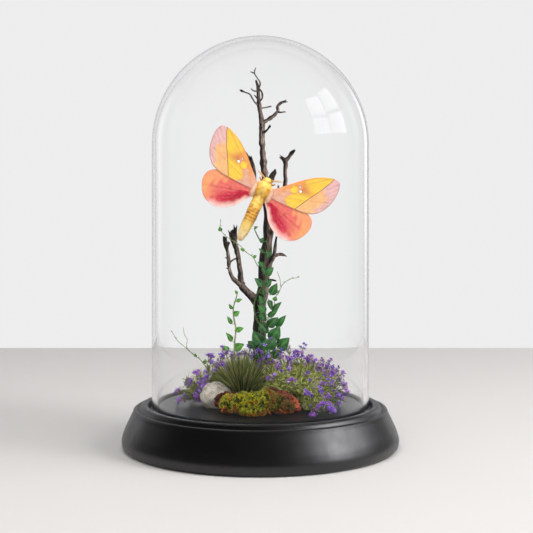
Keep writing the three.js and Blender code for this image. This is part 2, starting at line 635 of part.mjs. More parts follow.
function clumpSolid({ root: [x, y], reach: [wide, front, back, high], sprigs }) {
  const deep = (front + back) / 2;
  const middle = [x, y + (back - front) / 2, ON_DECK + 1];
  const size = [wide * MAT_SHARE, deep * MAT_SHARE, high * MAT_SHARE];
  const mat = lump(middle, size, { waves: 5, swell: 0.1, columns: 9, rows: 6 });
  const foot = ON_DECK + 2;
  const stems = [];
  for (let index = 0; index < sprigs; index += 1) {
    const up = (index + 0.35) / sprigs;
    const out = Math.sqrt(1 - up ** 3);
    const turn = index * GOLDEN_ANGLE;
    const length = 0.92 + 0.08 * Math.sin(index * 2.1);
    const deepReach = Math.sin(turn) < 0 ? front : back;
    const tip = new THREE.Vector3(
      x + wide * out * length * Math.cos(turn),
      y + deepReach * out * length * Math.sin(turn),
      ON_DECK + FLOWER_RADIUS + (high - 2 * FLOWER_RADIUS) * up * length,
    );
    const start = new THREE.Vector3(x, y, foot);
    const at = (share, radius) => [...start.clone().lerp(tip, share), radius];
    stems.push(limb([at(0, 0.8), at(0.86, 0.4), at(0.95, FLOWER_RADIUS), at(1.02, 0.3)], 3));
  }
  return join([clearOf(mat, [grassRoom(), trunkRoom()]), ...stems]);
}

// ---- scene --------------------------------------------------------------

add('base', baseGeometry(), blackWood);
add('glass_dome', domeGeometry(), glass);

for (const name of Object.keys(branch)) {
  const cutters = (growsFrom[name] ?? []).map((parent) => branchPiece(parent, GAP));
  add(name, geometryOf(clearOf(branchPiece(name), cutters)), charredWood);
}

const moth = add('moth', geometryOf(mothSolid()), mothScales);
moth.rotation.set(Math.PI / 2, MOTH_TILT, 0, 'YXZ');
moth.position.set(...MOTH_CENTRE);

const wood = Object.keys(branch).map((name) => branchPiece(name, GAP));
add('climbing_vine', geometryOf(clearOf(vineSolid(), wood)), vineGreen);

const grownVine = vineSolid(GAP);
const shoots = {
  left_shoot: [shootLeaves, []],
  upper_tendril: [upperTendrilLeaves, []],
  right_tendril: [rightTendrilLeaves, ['right_tendril_fork']],
  far_left_tendril: [farLeftLeaves, ['far_left_tendril_fork']],
};
const grownShoots = [];
for (const [name, [leaves, forks]] of Object.entries(shoots)) {
  add(name, geometryOf(clearOf(shootSolid(name, leaves, forks), [...wood, grownVine])), tendrilGreen);
  grownShoots.push(shootSolid(name, leaves, forks, GAP));
}

add('stone', geometryOf(stoneSolid()), paleStone);
add('bark', geometryOf(clearOf(barkSolid(), [stoneSolid(GAP)])), maroonBark);
add('moss', geometryOf(clearOf(mossSolid(), [barkSolid(GAP), stoneSolid(GAP)])), mossGreen);

const planted = [stoneSolid(GAP), barkSolid(GAP), mossSolid(GAP), ...wood, grownVine, ...grownShoots];
add('grass_tuft', geometryOf(clearOf(grassSolid(), planted)), grassGreen);

for (const [name, clump] of Object.entries(clumps)) {
  const cutters = [...planted, grassSolid(GAP)];
  add(name, geometryOf(clearOf(clumpSolid(clump), cutters)), violetFlower);
}

export default part;
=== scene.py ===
# %% [markdown]
# # A mounted moth under a glass dome
# A dried moth sits on a dead branch. A vine climbs the branch, and dried flowers,
# grass, a stone and mossy bark stand round its foot, all on a black turned base under
# clear glass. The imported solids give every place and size. Each cell below makes one
# piece of the real object, or one finish, as a surface worked out with numpy.

import bpy
import numpy as np
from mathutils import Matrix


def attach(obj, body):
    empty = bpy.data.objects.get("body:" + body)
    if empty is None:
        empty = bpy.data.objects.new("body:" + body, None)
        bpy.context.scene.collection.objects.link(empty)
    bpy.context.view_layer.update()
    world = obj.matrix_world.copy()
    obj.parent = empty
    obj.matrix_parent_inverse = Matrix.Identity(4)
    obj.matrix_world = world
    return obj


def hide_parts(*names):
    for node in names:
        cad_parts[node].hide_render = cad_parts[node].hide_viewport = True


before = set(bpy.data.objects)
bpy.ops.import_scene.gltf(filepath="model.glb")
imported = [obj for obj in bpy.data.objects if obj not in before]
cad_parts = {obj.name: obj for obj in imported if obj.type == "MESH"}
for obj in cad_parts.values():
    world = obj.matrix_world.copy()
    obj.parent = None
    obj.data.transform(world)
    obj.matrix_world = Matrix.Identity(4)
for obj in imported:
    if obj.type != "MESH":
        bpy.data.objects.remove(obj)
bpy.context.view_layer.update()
MM = 0.001  # the shapes below are worked out in millimetres

# %% [markdown]
# ## Tools for surfaces
# Almost everything here is a closed skin: rows of rings from one end to the other, with
# a single point at each end, like a sock closed at both ends. A leaf is a very flat
# sock, the glass is a turned one, and a tendril is a thin one. One helper makes the
# faces of any number of such skins at once, so hundreds of leaves cost one call.


# %% Skins
def skins(rings, first, last, **values):
    """Closed skins from rings shaped (count, rows, columns, 3) and end points shaped
    (count, 3). Neighbouring rings are joined by quads, and the ends by triangles. Each
    named value, shaped (count, rows, columns) or (..., 3), goes along with the points,
    and an end point takes its mean over the nearest ring."""
    count, rows, columns = rings.shape[:3]
    points = np.concatenate((first[:, None], rings.reshape(count, -1, 3), last[:, None]), 1)
    kept = {}
    for name, value in values.items():
        depth = value.shape[3:]
        ends = [value[:, row].mean(1)[:, None] for row in (0, -1)]
        kept[name] = np.concatenate((ends[0], value.reshape(count, -1, *depth), ends[1]), 1)
    size = rows * columns + 2
    row, column = np.meshgrid(np.arange(rows - 1), np.arange(columns), indexing="ij")
    beside = (column + 1) % columns
    at = lambda r, c: 1 + r * columns + c
    quads = np.stack((at(row, column), at(row, beside), at(row + 1, beside), at(row + 1, column)), -1)
    around = np.arange(columns)
    after = (around + 1) % columns
    foot = np.stack((at(0, after), at(0, around), np.zeros_like(around)), -1)
    tip = np.stack((at(rows - 1, around), at(rows - 1, after), np.full_like(around, size - 1)), -1)
    shift = (np.arange(count) * size)[:, None, None]
    return {
        "points": points.reshape(-1, 3),
        "quads": (quads.reshape(1, -1, 4) + shift).reshape(-1, 4),
        "triangles": (np.concatenate((foot, tip))[None] + shift).reshape(-1, 3),
        "values": {name: value.reshape(count * size, *value.shape[2:]) for name, value in kept.items()},
    }


def one_skin(rings, ends, colour):
    """A single closed skin, with one colour or a colour per point."""
    colour = np.broadcast_to(colour, rings.shape)
    return skins(rings[None], ends[:1], ends[1:], paint=colour[None])


def together(forms):
    """Several forms as one, the point numbers of each moved up past those before it."""
    starts = np.cumsum([0] + [len(form["points"]) for form in forms[:-1]])
    return {
        "points": np.concatenate([form["points"] for form in forms]),
        "quads": np.concatenate([form["quads"] + start for form, start in zip(forms, starts)]),
        "triangles": np.concatenate([form["triangles"] + start for form, start in zip(forms, starts)]),
        "values": {
            name: np.concatenate([form["values"][name] for form in forms]) for name in forms[0]["values"]
        },
    }


trial = one_skin(np.zeros((3, 4, 3)), np.zeros((2, 3)), np.zeros(3))
print("a skin of 3 rings of 4 points has", len(trial["quads"]), "quads")


# %% Making a piece
def piece(name, form, materials, nodes=()):
    """One object from a form. A value with three numbers per point becomes a colour,
    and one with a single number a plain attribute."""
    mesh = bpy.data.meshes.new(name)
    quads, triangles = form["quads"], form["triangles"]
    corners = np.concatenate((quads.ravel(), triangles.ravel()))
    starts = np.concatenate((np.arange(len(quads)) * 4, len(quads) * 4 + np.arange(len(triangles)) * 3))
    mesh.vertices.add(len(form["points"]))
    mesh.vertices.foreach_set("co", (form["points"] * MM).astype(np.float32).ravel())
    mesh.loops.add(len(corners))
    mesh.loops.foreach_set("vertex_index", corners.astype(np.int32))
    mesh.polygons.add(len(starts))
    mesh.polygons.foreach_set("loop_start", starts.astype(np.int32))
    for key, value in form["values"].items():
        if value.ndim == 1:
            layer = mesh.attributes.new(key, "FLOAT", "POINT")
            layer.data.foreach_set("value", value.astype(np.float32))
        else:
            layer = mesh.attributes.new(key, "FLOAT_COLOR", "POINT")
            rgba = np.concatenate((value, np.ones((len(value), 1))), 1)
            layer.data.foreach_set("color", rgba.astype(np.float32).ravel())
    mesh.update(calc_edges=True)
    mesh.validate()
    mesh.shade_smooth()
    for material in materials:
        mesh.materials.append(material)
    thing = bpy.data.objects.new(name, mesh)
    bpy.context.scene.collection.objects.link(thing)
    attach(thing, "root")
    if nodes:
        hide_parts(*nodes)
    print(name, "triangles:", 2 * len(quads) + len(triangles))
    return thing


# %% Curves
def smooth(stations, samples):
    """A curve through the stations, every column alike: between two stations it is the
    cubic that meets both with the slope of their neighbours."""
    known = np.asarray(stations, float)
    step = np.linalg.norm(np.diff(known[:, :3], axis=0), axis=1)
    way = np.concatenate(([0], np.cumsum(step)))
    slope = np.gradient(known, way, axis=0)
    at = np.linspace(0, way[-1], samples)
    i = np.clip(np.searchsorted(way, at, side="right") - 1, 0, len(known) - 2)
    gap = step[i][:, None]
    t = (at - way[i])[:, None] / gap
    keep = 2 * t**3 - 3 * t**2 + 1
    return (
        keep * known[i]
        + (1 - keep) * known[i + 1]
        + (t**3 - 2 * t**2 + t) * gap * slope[i]
        + (t**3 - t**2) * gap * slope[i + 1]
    )


# %% Uneven fields
def ripple(points, size, seed, waves=14):
    """A smooth uneven field: plane waves about `size` long in random headings, added
    up, with values mostly between -1 and 1."""
    chance = np.random.default_rng(seed)
    heading = chance.normal(size=(3, waves))
    heading *= chance.uniform(0.7, 1.6, waves) * 2 * np.pi / size / np.linalg.norm(heading, axis=0)
    total = sum(np.sin(points @ heading[:, k] + chance.uniform(0, 6.28)) for k in range(waves))
    return total / np.sqrt(waves)


def unit(vectors):
    """The vectors, each divided by its length."""
    return vectors / np.maximum(np.linalg.norm(vectors, axis=-1, keepdims=True), 1e-9)


# %% Colours
def paint(code):
    """A colour written as six hex digits, as the three linear numbers of the renderer."""
    shown = np.array([int(code[i : i + 2], 16) for i in (0, 2, 4)]) / 255
    return np.where(shown < 0.04045, shown / 12.92, ((shown + 0.055) / 1.055) ** 2.4)


def mixed(first, second, share):
    """The first colour where the share is 0, the second where it is 1."""
    share = np.clip(share, 0, 1)[..., None]
    return first * (1 - share) + second * share


def step_up(value, low, high):
    """0 below low, 1 above high, and an S-shaped ramp between them."""
    t = np.clip((value - low) / (high - low), 0, 1)
    return t * t * (3 - 2 * t)


print("mid grey in linear numbers:", paint("808080").round(3))


# %% [markdown]
# ## Camera, floor and lights
# A dome is easiest to read from straight in front, near the height of its middle. The
# camera is level and its lens is shifted down a little to take in the base. Clear glass
# shows only what it mirrors. A window of four soft panes on the right draws its bright
# curved patch, and tall faint sheets on both sides draw the upright bands. A broad dim
# sheet behind keeps the rim of the glass pale. Three soft lamps that no surface mirrors
# light the specimens from above, from in front and from the right.

# %% Camera
scene = bpy.context.scene
camera_data = bpy.data.cameras.new("camera")
camera = bpy.data.objects.new("camera", camera_data)
scene.collection.objects.link(camera)
scene.camera = camera
EYE = (0, -0.550, 0.1164)  # metres: straight in front, a little above the middle
PICTURE = 533  # width of the picture in pixels, the unit of the next two values
FOCAL_LENGTH = 1080
SHIFT = (6.1, -49.9)  # the view moves a little right, and down to take in the base
SENSOR = 36  # millimetres
camera.location = EYE
camera.rotation_euler = (np.pi / 2, 0, 0)
camera_data.sensor_width = SENSOR
camera_data.lens = SENSOR * (FOCAL_LENGTH / PICTURE)
camera_data.shift_x = SHIFT[0] / PICTURE
camera_data.shift_y = SHIFT[1] / PICTURE
camera_data.clip_start = 0.01
print("lens:", round(camera_data.lens, 1), "mm")


# %% Floor
MATT = 0.9  # roughness of the set


def stage_sheet(name, corners, color, faces=((0, 1, 2, 3),), glowing=False):
    """A flat sheet for the set, not part of the object. A glowing one shines with its
    emission colour and has no gloss."""
    mesh = bpy.data.meshes.new(name)
    mesh.from_pydata(corners, [], faces)
    material = bpy.data.materials.new(name)
    material.use_nodes = True
    shader = material.node_tree.nodes["Principled BSDF"]
    shader.inputs["Base Color"].default_value = (*color, 1)
    shader.inputs["Roughness"].default_value = MATT
    if glowing:
        shader.inputs["Emission Strength"].default_value = 1
        shader.inputs["Specular IOR Level"].default_value = 0
    mesh.materials.append(material)
    sheet = bpy.data.objects.new(name, mesh)
    scene.collection.objects.link(sheet)
    return sheet


EDGE = 0.407  # metres: the floor ends here, so its far edge shows behind the glass
FLOOR_COLOUR = (0.47, 0.455, 0.44)
floor_corners = [(-EDGE, -EDGE, 0), (EDGE, -EDGE, 0), (EDGE, EDGE, 0), (-EDGE, EDGE, 0)]
stage_sheet("floor", floor_corners, FLOOR_COLOUR)
print("floor:", 2 * EDGE, "m square")

# %% Room light
# The eye sees a pale room straight on and through the glass. What a surface mirrors is
# a dark studio with a few bright sheets. If a bright room were mirrored, both faces of
# the glass would lay it as a haze over everything inside.
ROOM_COLOUR = (0.998, 1.0, 1.003, 1)
TO_THE_EYE, ON_MATT, IN_MIRRORS = 0.85, 0.5, 0.035  # brightness of the room for each
scene.view_settings.view_transform = "Standard"
world = bpy.data.worlds.new("room")
scene.world = world
world.use_nodes = True
room = world.node_tree
sky = room.nodes["Background"]
sky.inputs["Color"].default_value = ROOM_COLOUR
rays = room.nodes.new("ShaderNodeLightPath")
for_matt = room.nodes.new("ShaderNodeMix")
for_mirrors = room.nodes.new("ShaderNodeMix")
for_matt.inputs["A"].default_value = TO_THE_EYE
for_matt.inputs["B"].default_value = ON_MATT
for_mirrors.inputs["B"].default_value = IN_MIRRORS
mirrored = room.nodes.new("ShaderNodeMath")
mirrored.operation = "MULTIPLY"
room.links.new(rays.outputs["Is Glossy Ray"], mirrored.inputs[0])
room.links.new(rays.outputs["Is Reflection Ray"], mirrored.inputs[1])
room.links.new(rays.outputs["Diffuse Depth"], for_matt.inputs["Factor"])
room.links.new(mirrored.outputs[0], for_mirrors.inputs["Factor"])
room.links.new(for_matt.outputs["Result"], for_mirrors.inputs["A"])
room.links.new(for_mirrors.outputs["Result"], sky.inputs["Strength"])
print("room:", sky.inputs["Color"].default_value[:3])


# %% Lights
MIDDLE = (0, 0, 0.1)  # metres: where the lamps point
SHEET_TINT = (0.99, 0.99, 1.02, 1)  # a trace of blue


def panel(name, place, size, power):
    """A rectangular soft light at a place, turned to face the middle: its tilt and its
    turn are the arctangents of the way there. No surface mirrors it."""
    light = bpy.data.lights.new(name, "AREA")
    light.shape = "RECTANGLE"
    light.size, light.size_y = size
    light.energy = power
    lamp = bpy.data.objects.new(name, light)
    scene.collection.objects.link(lamp)
    lamp.location = place
    way = np.array(MIDDLE) - np.array(place)
    tilt = np.arctan2(np.hypot(way[0], way[1]), -way[2])
    lamp.rotation_euler = (tilt, 0, np.arctan2(-way[0], way[1]))
    lamp.visible_glossy = lamp.visible_transmission = False


def soft_sheet(name, place, size, brightness, softness, cells=24):
    """A glowing upright sheet that faces the middle and shows only where it is mirrored.
    Its brightness falls to nothing at its rim over the share of its half width called
    softness, as an S-shaped ramp each way."""
    away = unit(np.array([place[0], place[1], 0.0]))
    sideways = np.array([-away[1], away[0], 0])
    u, v = np.meshgrid(np.linspace(-1, 1, cells), np.linspace(-1, 1, cells), indexing="ij")
    upright = np.array([0, 0, 1.0])
    spots = np.array(place) + sideways * (u * size[0] / 2)[..., None] + upright * (v * size[1] / 2)[..., None]
    number = np.arange(cells * cells).reshape(cells, cells)
    faces = np.stack((number[:-1, :-1], number[1:, :-1], number[1:, 1:], number[:-1, 1:]), -1)
    sheet = stage_sheet(
        name, spots.reshape(-1, 3).tolist(), (0, 0, 0), faces.reshape(-1, 4).tolist(), glowing=True
    )
    sheet.visible_camera = sheet.visible_transmission = False
    glow = step_up(1 - np.abs(u), 0, softness) * step_up(1 - np.abs(v), 0, softness) * brightness
    layer = sheet.data.attributes.new("glow", "FLOAT_COLOR", "POINT")
    rgba = glow.reshape(-1, 1) * np.array(SHEET_TINT)
    layer.data.foreach_set("color", rgba.astype(np.float32).ravel())
    tree = sheet.data.materials[0].node_tree
    reader = tree.nodes.new("ShaderNodeAttribute")
    reader.attribute_name = "glow"
    tree.links.new(reader.outputs["Color"], tree.nodes["Principled BSDF"].inputs["Emission Color"])


# %% Sheets and lamps
# Each sheet is (name, place, (width, height), brightness, softness), in metres.
SHEETS = [
    ("window_pane_0", (1.05, -0.47, 0.46), (0.425, 0.32), 14, 0.14),
    ("window_pane_1", (1.05, -0.03, 0.46), (0.425, 0.32), 6.5, 0.14),
    ("window_pane_2", (1.05, -0.47, 0.88), (0.425, 0.46), 14, 0.14),
    ("window_pane_3", (1.05, -0.03, 0.88), (0.425, 0.46), 6.5, 0.14),
    ("left_fill", (-1.0, 0.22, 0.5), (0.4, 1.0), 0.6, 1.0),
    ("right_fill", (0.95, 0.5, 0.5), (0.4, 1.0), 1.0, 1.0),
    ("back_glow", (0, 1.0, 0.35), (2.6, 1.5), 0.62, 0.3),
    ("left_band", (-0.75, 0.62, 0.3), (0.5, 1.2), 1.4, 1.0),
    ("right_band", (0.62, 0.85, 0.3), (0.4, 1.2), 2.2, 1.0),
]
# Each lamp is (name, place, (width, height), watts).
LAMPS = [
    ("overhead", (-0.1, -0.35, 1.1), (0.7, 0.7), 7),
    ("front_fill", (-0.35, -1.1, 0.55), (0.7, 0.5), 6.6),
    ("window_light", (0.8, -0.5, 0.7), (0.3, 0.4), 5.6),
]
for sheet in SHEETS:
    soft_sheet(*sheet)
for lamp in LAMPS:
    panel(*lamp)

# %% [markdown]
# ## Finishes
# A finish is a Principled shader with a bump and a roughness that vary over the
# surface. Most colours here are worked out per point when a shape is made, because
# then a leaf knows its midrib and a branch its dark side, partly charred and partly
# painted shade. The shader adds what is finer than the mesh, such as wood pores, scales
# and specks, from noise on Object coordinates, which stays in place from every side.


# %% A new material
def fresh_material(name, roughness, **constants):
    """A new material, its node tree and its Principled shader. The named constants are
    set on the shader's own sockets, with _ written for a space."""
    material = bpy.data.materials.new(name)
    material.use_nodes = True
    tree = material.node_tree
    shader = tree.nodes["Principled BSDF"]
    shader.inputs["Roughness"].default_value = roughness
    for socket, value in constants.items():
        shader.inputs[socket.replace("_", " ")].default_value = value
    return material, tree, shader


# %% The shared grain
def make_relief_group():
    """The shared grain: noise squeezed along each axis by Stretch gives a Height for a
    bump, a Shade that darkens and lightens a colour round 1, and a Rough value."""
    group = bpy.data.node_groups.new("grain", "ShaderNodeTree")
    for name, kind, value in (
        ("Stretch", "NodeSocketVector", (1, 1, 1)),
        ("Scale", "NodeSocketFloat", 800.0),
        ("Contrast", "NodeSocketFloat", 0.3),
        ("Rough Low", "NodeSocketFloat", 0.5),
        ("Rough High", "NodeSocketFloat", 0.8),
    ):
        socket = group.interface.new_socket(name=name, in_out="INPUT", socket_type=kind)
        socket.default_value = value
    for name in ("Height", "Shade", "Rough"):
        group.interface.new_socket(name=name, in_out="OUTPUT", socket_type="NodeSocketFloat")
    inside = group.nodes.new("NodeGroupInput")
    outside = group.nodes.new("NodeGroupOutput")
    place = group.nodes.new("ShaderNodeTexCoord")
    squeeze = group.nodes.new("ShaderNodeVectorMath")
    squeeze.operation = "MULTIPLY"
    noise = group.nodes.new("ShaderNodeTexNoise")
    noise.inputs["Detail"].default_value = 5
    noise.inputs["Roughness"].default_value = 0.6
    centre = group.nodes.new("ShaderNodeMath")
    centre.operation = "SUBTRACT"
    centre.inputs[1].default_value = 0.5
    shade = group.nodes.new("ShaderNodeMath")
    shade.operation = "MULTIPLY_ADD"
    shade.inputs[2].default_value = 1.0
    rough = group.nodes.new("ShaderNodeMapRange")
    rough.inputs["From Min"].default_value = 0.3
    rough.inputs["From Max"].default_value = 0.7
    link = group.links.new
    link(place.outputs["Object"], squeeze.inputs[0])
    link(inside.outputs["Stretch"], squeeze.inputs[1])
    link(squeeze.outputs["Vector"], noise.inputs["Vector"])
    link(inside.outputs["Scale"], noise.inputs["Scale"])
    link(noise.outputs["Fac"], centre.inputs[0])
    link(centre.outputs[0], shade.inputs[0])
    link(inside.outputs["Contrast"], shade.inputs[1])
    link(noise.outputs["Fac"], rough.inputs["Value"])
    link(inside.outputs["Rough Low"], rough.inputs["To Min"])
    link(inside.outputs["Rough High"], rough.inputs["To Max"])
    link(noise.outputs["Fac"], outside.inputs["Height"])
    link(shade.outputs[0], outside.inputs["Shade"])
    link(rough.outputs["Result"], outside.inputs["Rough"])
    return group


GRAIN = make_relief_group()


# %% Grain, bump and shade in a material
def grain_node(tree, scale, contrast, rough, stretch=(1, 1, 1)):
    """The grain group placed in a material with its own values."""
    node = tree.nodes.new("ShaderNodeGroup")
    node.node_tree = GRAIN
    node.inputs["Scale"].default_value = scale
    node.inputs["Contrast"].default_value = contrast
    node.inputs["Rough Low"].default_value, node.inputs["Rough High"].default_value = rough
    node.inputs["Stretch"].default_value = stretch
    return node


def bump_from(tree, height, shader, depth_mm, strength=1.0):
    """A Bump node between a height and a shader's normal."""
    bump = tree.nodes.new("ShaderNodeBump")
    bump.inputs["Distance"].default_value = depth_mm * MM
    bump.inputs["Strength"].default_value = strength
    tree.links.new(height, bump.inputs["Height"])
    tree.links.new(bump.outputs["Normal"], shader.inputs["Normal"])


def shaded(tree, colour, shade):
    """A colour socket times a shade socket."""
    times = tree.nodes.new("ShaderNodeVectorMath")
    times.operation = "SCALE"
    tree.links.new(colour, times.inputs[0])
    tree.links.new(shade, times.inputs["Scale"])
    return times.outputs["Vector"]


# %% Painted finishes
def painted(name, rough, scale, contrast, depth_mm, stretch=(1, 1, 1), **constants):
    """A finish whose colour is the point colour called paint, with grain over it."""
    material, tree, shader = fresh_material(name, sum(rough) / 2, **constants)
    grain = grain_node(tree, scale, contrast, rough, stretch)
    colour = tree.nodes.new("ShaderNodeAttribute")
    colour.attribute_name = "paint"
    tree.links.new(shaded(tree, colour.outputs["Color"], grain.outputs["Shade"]), shader.inputs["Base Color"])
    tree.links.new(grain.outputs["Rough"], shader.inputs["Roughness"])
    bump_from(tree, grain.outputs["Height"], shader, depth_mm)
    return material


print("grain group sockets:", len(GRAIN.interface.items_tree))

# %% [markdown]
# ## The turned base
# The base is one block turned on a lathe: a foot, a skirt that leans in as it rises, a
# rounded shoulder, a hollow, a raised bead, the groove for the glass and a flat deck.
# A lathe in code is one profile carried round the axis. The profile below is drawn
# through the same heights and radii as the solid, with its corners rounded off. The
# skirt has a satin lacquer and the deck a finer, greyer one, so the faces inside the
# groove get a second finish.

# %% Turned shapes
ROUND = 192  # facets round the base
GLASS_ROUND = 208  # facets round the glass


def turned(profile, columns=ROUND):
    """A profile of (radius, height) rows carried round the upright axis. Its two end
    rows lie on the axis and become the end points."""
    angle = np.arange(columns) / columns * 2 * np.pi
    radius, height = profile[1:-1, 0], profile[1:-1, 1]
    rings = np.stack(
        (
            radius[:, None] * np.cos(angle),
            radius[:, None] * np.sin(angle),
            np.broadcast_to(height[:, None], (len(height), columns)),
        ),
        -1,
    )
    ends = np.array([[0, 0, profile[0, 1]], [0, 0, profile[-1, 1]]])
    return skins(rings[None], ends[:1], ends[1:])


def rounded(corners, reach, steps=5):
    """A profile whose every corner is cut by a curve that starts and ends `reach` from
    it: the curve between the two cut points is pulled towards the corner."""
    corners = np.asarray(corners, float)
    rows = [corners[:1]]
    for before, corner, after, near in zip(corners, corners[1:], corners[2:], reach):
        sides = [other - corner for other in (before, after)]
        cuts = [corner + side * min(near / np.linalg.norm(side), 0.45) for side in sides]
        t = np.linspace(0, 1, steps)[:, None]
        rows.append((1 - t) ** 2 * cuts[0] + 2 * t * (1 - t) * corner + t**2 * cuts[1])
    return np.concatenate(rows + [corners[-1:]])


print("facets round the base and the glass:", ROUND, GLASS_ROUND)


# %% Satin lacquer and slate deck
lacquer, tree, shader = fresh_material(
    "black_satin_lacquer", 0.4, Specular_IOR_Level=0.6, Coat_Weight=0.15, Coat_Roughness=0.3
)
shader.inputs["Base Color"].default_value = (0.0012, 0.0012, 0.0014, 1)
brushed = grain_node(tree, scale=420, contrast=0.2, rough=(0.34, 0.46), stretch=(1, 1, 0.07))
tree.links.new(brushed.outputs["Rough"], shader.inputs["Roughness"])
bump_from(tree, brushed.outputs["Height"], shader, depth_mm=0.05, strength=0.35)

deck_slate, tree, shader = fresh_material("slate_lacquer", 0.4, Specular_IOR_Level=0.2)
shader.inputs["Base Color"].default_value = (0.005, 0.006, 0.0075, 1)
pores = grain_node(tree, scale=1500, contrast=0.2, rough=(0.28, 0.4))
tree.links.new(pores.outputs["Rough"], shader.inputs["Roughness"])
bump_from(tree, pores.outputs["Height"], shader, depth_mm=0.04, strength=0.4)
print("finishes:", lacquer.name, "and", deck_slate.name)

# %% Base
DECK = 21.5  # height of the deck
GROOVE = 18.5  # height of the floor of the groove
INNER_SIDE = 52.1  # from this radius inwards the top of the base has the slate finish
# The corners of the profile are (radius, height), in millimetres.
UNDERSIDE = [[30, 0], [66, 0], [67.4, 0]]
SKIRT = [[69.7, 1.6, 0], [70.1, 4.2, 0], [69.2, 8, 0], [66.8, 13.4, 0], [64.6, 18.0, 0]]
CROWN = [[64.2, 19.5], [62.6, 20.1], [61.7, 19.0], [60.6, 21.2], [59.1, 21.95], [57.0, 21.6],
         [56.6, GROOVE]]
MIDDLE_RISE = [[51.9, GROOVE], [51.4, DECK], [0, DECK]]
CUT_BACK = [1.2, 0.8, 0.7, 1, 1, 0.5, 0.3, 0.3, 0.5]  # how far each corner is rounded
skirt = smooth(SKIRT, samples=26)[:, :2]
low = rounded([[0, 0], [68.3, 0], skirt[0]], [0.6])
top = rounded([skirt[-1], *CROWN, *MIDDLE_RISE], CUT_BACK)
flat = [[radius, DECK] for radius in (50.7, 50.4, 45, 30, 12)]  # keeps the deck's shading level
base_profile = np.concatenate((low[:1], UNDERSIDE, low[1:-1], skirt, top[1:-1], flat, top[-1:]))
base_form = turned(base_profile)
turned_base = piece("turned_base", base_form, [lacquer, deck_slate], ["base"])
middles = base_profile[1:-1]
inner_rows = np.flatnonzero((middles[:-1, 0] < INNER_SIDE) & (middles[:-1, 1] > GROOVE - 0.5))
numbers = np.zeros(len(turned_base.data.polygons), np.int32)
quad_rows = np.arange(len(base_form["quads"])) // ROUND
numbers[: len(quad_rows)] = np.isin(quad_rows, inner_rows)
numbers[-ROUND:] = 1  # the last triangles close the deck round its middle
turned_base.data.polygons.foreach_set("material_index", numbers)
print("profile rows:", len(base_profile), "deck faces:", int(numbers.sum()))

# %% [markdown]
# ## The glass dome
# The glass is blown thin and even: a straight wall that closes in a half ball, with a
# fire-polished rim that stands in the groove. It is one closed skin, inside and
# outside, so the renderer bends light at both. Lamps would throw a hard shadow of clear
# glass, so the shader lets their rays through unbent, and keeps its plain transmission
# and bending for everything the eye sees.

# %% Clear glass
COATING = (0.12, 0.12, 0.122, 1)  # the share a coated display glass still mirrors
clear, tree, shader = fresh_material(
    "clear_glass", 0.0, IOR=1.43, Transmission_Weight=1.0, Specular_Tint=COATING
)
shader.inputs["Base Color"].default_value = (0.998, 1.0, 1.0, 1)
passing = tree.nodes.new("ShaderNodeBsdfTransparent")
passing.inputs["Color"].default_value = (0.97, 0.975, 0.975, 1)
either = tree.nodes.new("ShaderNodeMixShader")
rays = tree.nodes.new("ShaderNodeLightPath")
tree.links.new(rays.outputs["Is Shadow Ray"], either.inputs["Fac"])
tree.links.new(shader.outputs["BSDF"], either.inputs[1])
tree.links.new(passing.outputs["BSDF"], either.inputs[2])
tree.links.new(either.outputs["Shader"], tree.nodes["Material Output"].inputs["Surface"])
print("index of the glass:", round(shader.inputs["IOR"].default_value, 2))

# %% Dome
OUTSIDE, INSIDE = 55.0, 52.6  # radii of the wall
SPRING, FOOT = 152.9, 18.8  # heights where the half ball starts and where the rim stands
quarter = np.linspace(0, np.pi / 2, 44)
inner = np.stack((INSIDE * np.sin(quarter), SPRING + INSIDE * np.cos(quarter)), 1)
outer = np.stack((OUTSIDE * np.cos(quarter), SPRING + OUTSIDE * np.sin(quarter)), 1)
lip = np.linspace(np.pi, 2 * np.pi, 13)
half_wall = (OUTSIDE - INSIDE) / 2
rim = np.stack((INSIDE + half_wall + half_wall * np.cos(lip), FOOT + half_wall + half_wall * np.sin(lip)), 1)
# The rings of the wall lie closer together near its two ends.
climb = np.array([FOOT + half_wall + 0.15, FOOT + half_wall + 0.6, 26, 60, 110, SPRING - 2, SPRING - 0.3])
inner_wall = np.stack((np.full(len(climb), INSIDE), climb[::-1]), 1)
outer_wall = np.stack((np.full(len(climb), OUTSIDE), climb), 1)
dome_profile = np.concatenate((inner, inner_wall, rim, outer_wall, outer))
piece("clear_dome", turned(dome_profile, GLASS_ROUND), [clear], ["glass_dome"])

# %% [markdown]
# ## The dead branch
# A twig with forked, broken ends stands for a small dead tree. Its tips are charred.
# Its left side is dark, partly charred and partly painted shade, and the side that
# faces right is painted lighter, warm grey, as painted light, with the fibres running
# along every limb. Each limb is a pipe whose radius follows its stations. Fine
# ridges are stretched along the limb by measuring the noise in a space where the length
# is pressed together, and the broken end is pulled into uneven splinters.


# %% Pipes
def framed(path):
    """Two directions square to each point of a path, the first as near as it can be to
    the fixed direction that the whole path least runs along."""
    tangent = unit(np.gradient(path, axis=0))
    overall = np.abs(path[-1] - path[0])
    fixed = np.eye(3)[np.argmin(overall + [1e-3, 0, 2e-3])]
    across = unit(fixed - tangent * (tangent @ fixed)[:, None])
    return across, np.cross(tangent, across), tangent


